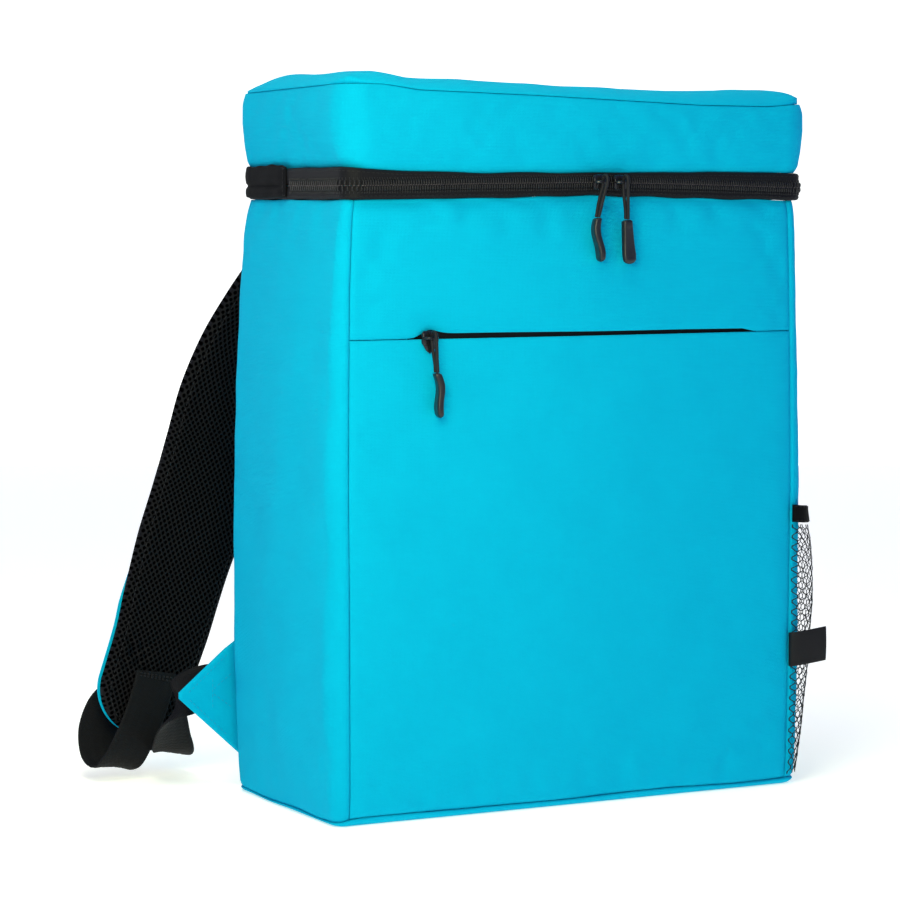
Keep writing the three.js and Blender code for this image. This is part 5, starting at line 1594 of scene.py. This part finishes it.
for label_, side in (("left", 1), ("right", -1)):
    strap(side, label_)
    fr = ribbon(f"webbing_fold_{label_}", LOOP_ROWS, 25.0, side, f"webbing_loop_{label_}", start=17.0)
    inner_face = 1.02 if fr["N"][0, 1] < 0 else -1.02
    lines = box_stitch(fr, side, 19.0, 21.0, 10.5, inner_face)
    stitches(f"webbing_box_stitch_{label_}", *join_lines(lines), .34, THREAD, slot="black_cloth")
    fr2 = ribbon(f"webbing_tail_{label_}", ADJUST_ROWS, 24.0, side, f"webbing_adjuster_{label_}")
    tab(side, label_)
    ladder_lock(side, label_)


# ------------------------------------------------------------ sliders and pulls
def prism(outline, y0, y1, r, seg=2):
    import bmesh
    b = bmesh.new()
    vs = [b.verts.new((x, y0, z)) for x, z in outline]
    f = b.faces.new(vs)
    ext = bmesh.ops.extrude_face_region(b, geom=[f])
    for g in ext["geom"]:
        if isinstance(g, bmesh.types.BMVert):
            g.co.y = y1
    bmesh.ops.recalc_face_normals(b, faces=b.faces[:])
    bmesh.ops.bevel(b, geom=b.edges[:], offset=r, segments=seg, profile=.5, affect="EDGES", clamp_overlap=True)
    verts = np.array([v.co[:] for v in b.verts])
    faces = [[v.index for v in g.verts] for g in b.faces]
    b.free()
    return verts, faces


def tube_points(points, radius, sides=8, squash=1.0):
    points = np.asarray(points, float)
    T = unit(np.gradient(points, axis=0))
    ref = np.array([0, 0, 1.0])
    N = []
    last = unit(np.cross(T[0], [1.0, 0.02, 0.01])[None])[0]
    for t in T:
        last = last - t * last.dot(t)
        last = last / np.linalg.norm(last)
        N.append(last)
    N = np.array(N)
    B = np.cross(T, N)
    ang = 2 * PI * np.arange(sides) / sides
    S = points[:, None] + radius * (np.cos(ang)[None, :, None] * N[:, None] + squash * np.sin(ang)[None, :, None] * B[:, None])
    K = sides
    idx = np.arange(len(points) * K).reshape(-1, K)
    a, b = idx[:-1], idx[1:]
    faces = np.stack([a, np.roll(a, -1, 1), np.roll(b, -1, 1), b], -1).reshape(-1, 4).tolist()
    faces += [idx[0, ::-1].tolist(), idx[-1].tolist()]
    return S.reshape(-1, 3), faces


def slider(pull):
    shield = [(-4.4, -2.5), (-3.4, -3.55), (-1.2, -3.7), (2.4, -3.3), (4.4, -1.9), (4.7, 0), (4.4, 1.9), (2.4, 3.3), (-1.2, 3.7),
              (-3.4, 3.55), (-4.4, 2.5)]
    parts = [prism(shield, -1.9, -.35, .45)]
    # nose and rim on the plate
    parts.append(prism([(-4.1, -2.2), (-3.4, -2.9), (-3.2, 2.9), (-4.1, 2.2)], -2.35, -1.7, .2, 1))
    # bail: a flat arch along the zip
    arch = []
    for k in range(25):
        a = PI * k / 24
        arch.append((-3.25 * math.cos(a), -1.7 - 2.75 * math.sin(a) ** .8 if math.sin(a) > 0 else -1.7, 0))
    v, f = tube_points(arch, .82, 10, 1.35)
    parts.append((v, f))
    # lock pin on the bail
    parts.append(prism([(-1.1, -.9), (1.1, -.9), (1.1, .9), (-1.1, .9)], -5.6, -4.6, .3, 2))
    if pull["name"] == "pocket_pull":
        # heart-shaped plate that hangs over the lower lip
        heart = [(-3.9, 1.2), (-4.3, -1.0), (-3.6, -3.6), (-2.0, -6.2), (0, -7.6), (2.0, -6.2), (3.6, -3.6), (4.3, -1.0), (3.9, 1.2), (0, 2.4)]
        parts.append(prism(heart, -1.6, -.9, .3, 2))
    verts, faces = merged(parts)
    verts = verts * [1.12, 1.0, 1.1]
    verts = verts + np.array([pull["x"], -pull["face"], pull["z"]])
    put(pull["slider"] + "_body", verts, faces, METAL, sharp=42, slot="black_metal", nodes=[pull["slider"]])


def grip(pull, mid):
    hs = np.concatenate([[0, .12, .4, .8, 1.4], np.linspace(2.2, 21.5, 26), [22.4, 23.2, 23.9, 24.4, 24.75, 24.95]])
    g = at(GRIP_ROWS, "h", hs)
    K = 28
    ang = 2 * PI * np.arange(K) / K
    S = []
    for i, h in enumerate(hs):
        w, d = g["width"][i] / 2, g["depth"][i] / 2
        if h > 21.5:
            k = math.sqrt(max(0.0, 1 - ((h - 21.5) / 3.5) ** 2.4))
            w, d = 4.4 * max(k, .12), 2.15 * max(k, .15)
        if h < 1.4:
            k = .82 + .18 * math.sqrt(max(0.0, 1 - (1 - h / 1.4) ** 2))
            w, d = w * k, d * k
        c, s_ = np.cos(ang), np.sin(ang)
        e = .62
        x = w * np.sign(c) * np.abs(c) ** e
        y = d * np.sign(s_) * np.abs(s_) ** e
        # shallow panel on both faces with a raised rim
        inside = np.clip(1 - (np.abs(x) / (w * .72)) ** 4, 0, 1) * np.clip((h - 3.5) / 1.2, 0, 1) * np.clip((22.3 - h) / 1.2, 0, 1)
        y = y - np.sign(y) * .28 * inside
        y = y + pull["bend"] * math.sin(PI * h / 25)
        if abs(pull["turn"]) > 40:
            y = y + .9 * math.sin(2 * PI * h / 25) * (1 if pull["bend"] > 0 else -1)
        S.append(np.stack([x, y, np.full(K, -h)], -1))
    S = np.array(S)
    a, bb = math.radians(pull["turn"]), math.radians(-5)
    cz, sz, cy, sy = math.cos(a), math.sin(a), math.cos(bb), math.sin(bb)
    Rz = np.array([[cz, -sz, 0], [sz, cz, 0], [0, 0, 1]])
    Ry = np.array([[cy, 0, sy], [0, 1, 0], [-sy, 0, cy]])
    S = (S * [.93, .93, .965]) @ (Ry @ Rz).T + mid
    ob = loft(pull["name"] + "_moulding", S, GRIP, sharp=55, slot="black_plastic", nodes=[pull["name"] + "_grip"])


def pull_cord(pull):
    at_ = lambda dx, out, dz: np.array([pull["x"] + dx, -(pull["face"] + 2.2 + out), pull["z"] + dz])
    low, dx, out = -pull["drop"], pull["dx"], pull["out"]
    pts = [at_(dx, out - 1.25, low + .4), at_(dx * .8, out - 1.3, low * .72), at_(dx * .35, 1.35, low * .36), at_(0, 1.25, -1.6),
           at_(0, 1.3, 1.4), at_(.1, 3.2, 3.6), at_(.1, 5.6, 2.6), at_(0, 6.3, 0), at_(dx * .2, 6.0, -3),
           at_(dx * .62, out + 1.7, low * .6), at_(dx, out + 1.25, low + .4)]
    curve = Curve(pts)
    s = np.linspace(0, curve.length, 36)
    P = curve.point(curve.at(s)) * MM
    cu = bpy.data.curves.new(pull["name"] + "_braid", "CURVE")
    cu.dimensions = "3D"
    sp = cu.splines.new("POLY")
    sp.points.add(len(P) - 1)
    for q, p in zip(sp.points, P):
        q.co = (*p, 1)
    cu.bevel_depth = CORD_R * MM
    cu.bevel_resolution = 4
    cu.use_fill_caps = True
    cu.materials.append(CORD)
    ob = bpy.data.objects.new(pull["name"] + "_braid", cu)
    bpy.context.scene.collection.objects.link(ob)
    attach(ob, "root")
    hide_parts(pull["name"] + "_cord")
    return at_(dx, out, low), curve.length


for pull in PULLS:
    mid, length = pull_cord(pull)
    print("cord", pull["name"], round(length, 1))
    slider(pull)
    grip(pull, mid)

# ------------------------------------------------------- floor, light, camera


def stage_material(name, glow):
    m, nt, b = material(name, (.9, .9, .9), .9, 0, .1)
    b.inputs["Emission Color"].default_value = (1, 1, .8, 1)
    b.inputs["Emission Strength"].default_value = glow
    return m


def stage():
    pts = [(-4.0, 0), (2.2, 0)]
    for k in range(1, 13):
        a = PI / 2 * k / 12
        pts.append((2.2 + 1.2 * math.sin(a), 1.2 - 1.2 * math.cos(a)))
    pts.append((3.4, 5.0))
    verts, faces = [], []
    for y, z in pts:
        verts += [(-7.0, y, z), (7.0, y, z)]
    for k in range(len(pts) - 1):
        faces.append((2 * k, 2 * k + 1, 2 * k + 3, 2 * k + 2))
    mesh = bpy.data.meshes.new("stage")
    mesh.from_pydata(verts, [], faces)
    mesh.polygons.foreach_set("use_smooth", np.full(len(mesh.polygons), True))
    mesh.materials.append(stage_material("pale_stage", .5))
    mesh.materials.append(stage_material("pale_backdrop", .9))
    mesh.polygons.foreach_set("material_index", [0] + [1] * (len(mesh.polygons) - 1))
    ob = bpy.data.objects.new("stage", mesh)
    ob.rotation_euler = (0, 0, math.radians(-27.6))
    bpy.context.scene.collection.objects.link(ob)


stage()

world = bpy.data.worlds.new("studio")
bpy.context.scene.world = world
world.use_nodes = True
world.node_tree.nodes["Background"].inputs[0].default_value = (.2, .3, 1, 1)
world.node_tree.nodes["Background"].inputs[1].default_value = .42


def area(name, place, target, size, power, color=(1, .98, .62)):
    light = bpy.data.lights.new(name, "AREA")
    light.shape = "RECTANGLE"
    light.size, light.size_y = size
    light.energy = power
    light.color = color
    ob = bpy.data.objects.new(name, light)
    ob.location = place
    ob.rotation_euler = (Vector(target) - Vector(place)).to_track_quat("-Z", "Y").to_euler()
    bpy.context.scene.collection.objects.link(ob)


area("near_left", (-.35, -.45, .40), (-.1, -.05, .2), (.25, .25), 1.9)
area("top", (.1, .1, 1.5), (0, 0, .3), (1.2, 1.2), 3.4)
area("top_left", (-.4, -.3, 1.2), (0, 0, .3), (.6, .6), 5.6)

AZ, EL, DIST = math.radians(-27.6), math.radians(4.52), 1.85
back_dir = Vector((math.sin(AZ) * math.cos(EL), -math.cos(AZ) * math.cos(EL), math.sin(EL)))
right_dir = Vector((math.cos(AZ), math.sin(AZ), 0))
target = Vector((0, 0, .1933)) + right_dir * -.0384
cam_data = bpy.data.cameras.new("camera")
cam_data.sensor_width = 36
cam_data.sensor_fit = "HORIZONTAL"
cam_data.lens = 3250 / 900 * 36
cam_data.clip_start = .05
cam = bpy.data.objects.new("camera", cam_data)
cam.location = target + back_dir * DIST
cam.rotation_euler = (-back_dir).to_track_quat("-Z", "Y").to_euler()
bpy.context.scene.collection.objects.link(cam)
bpy.context.scene.camera = cam
bpy.context.scene.view_settings.view_transform = "Standard"
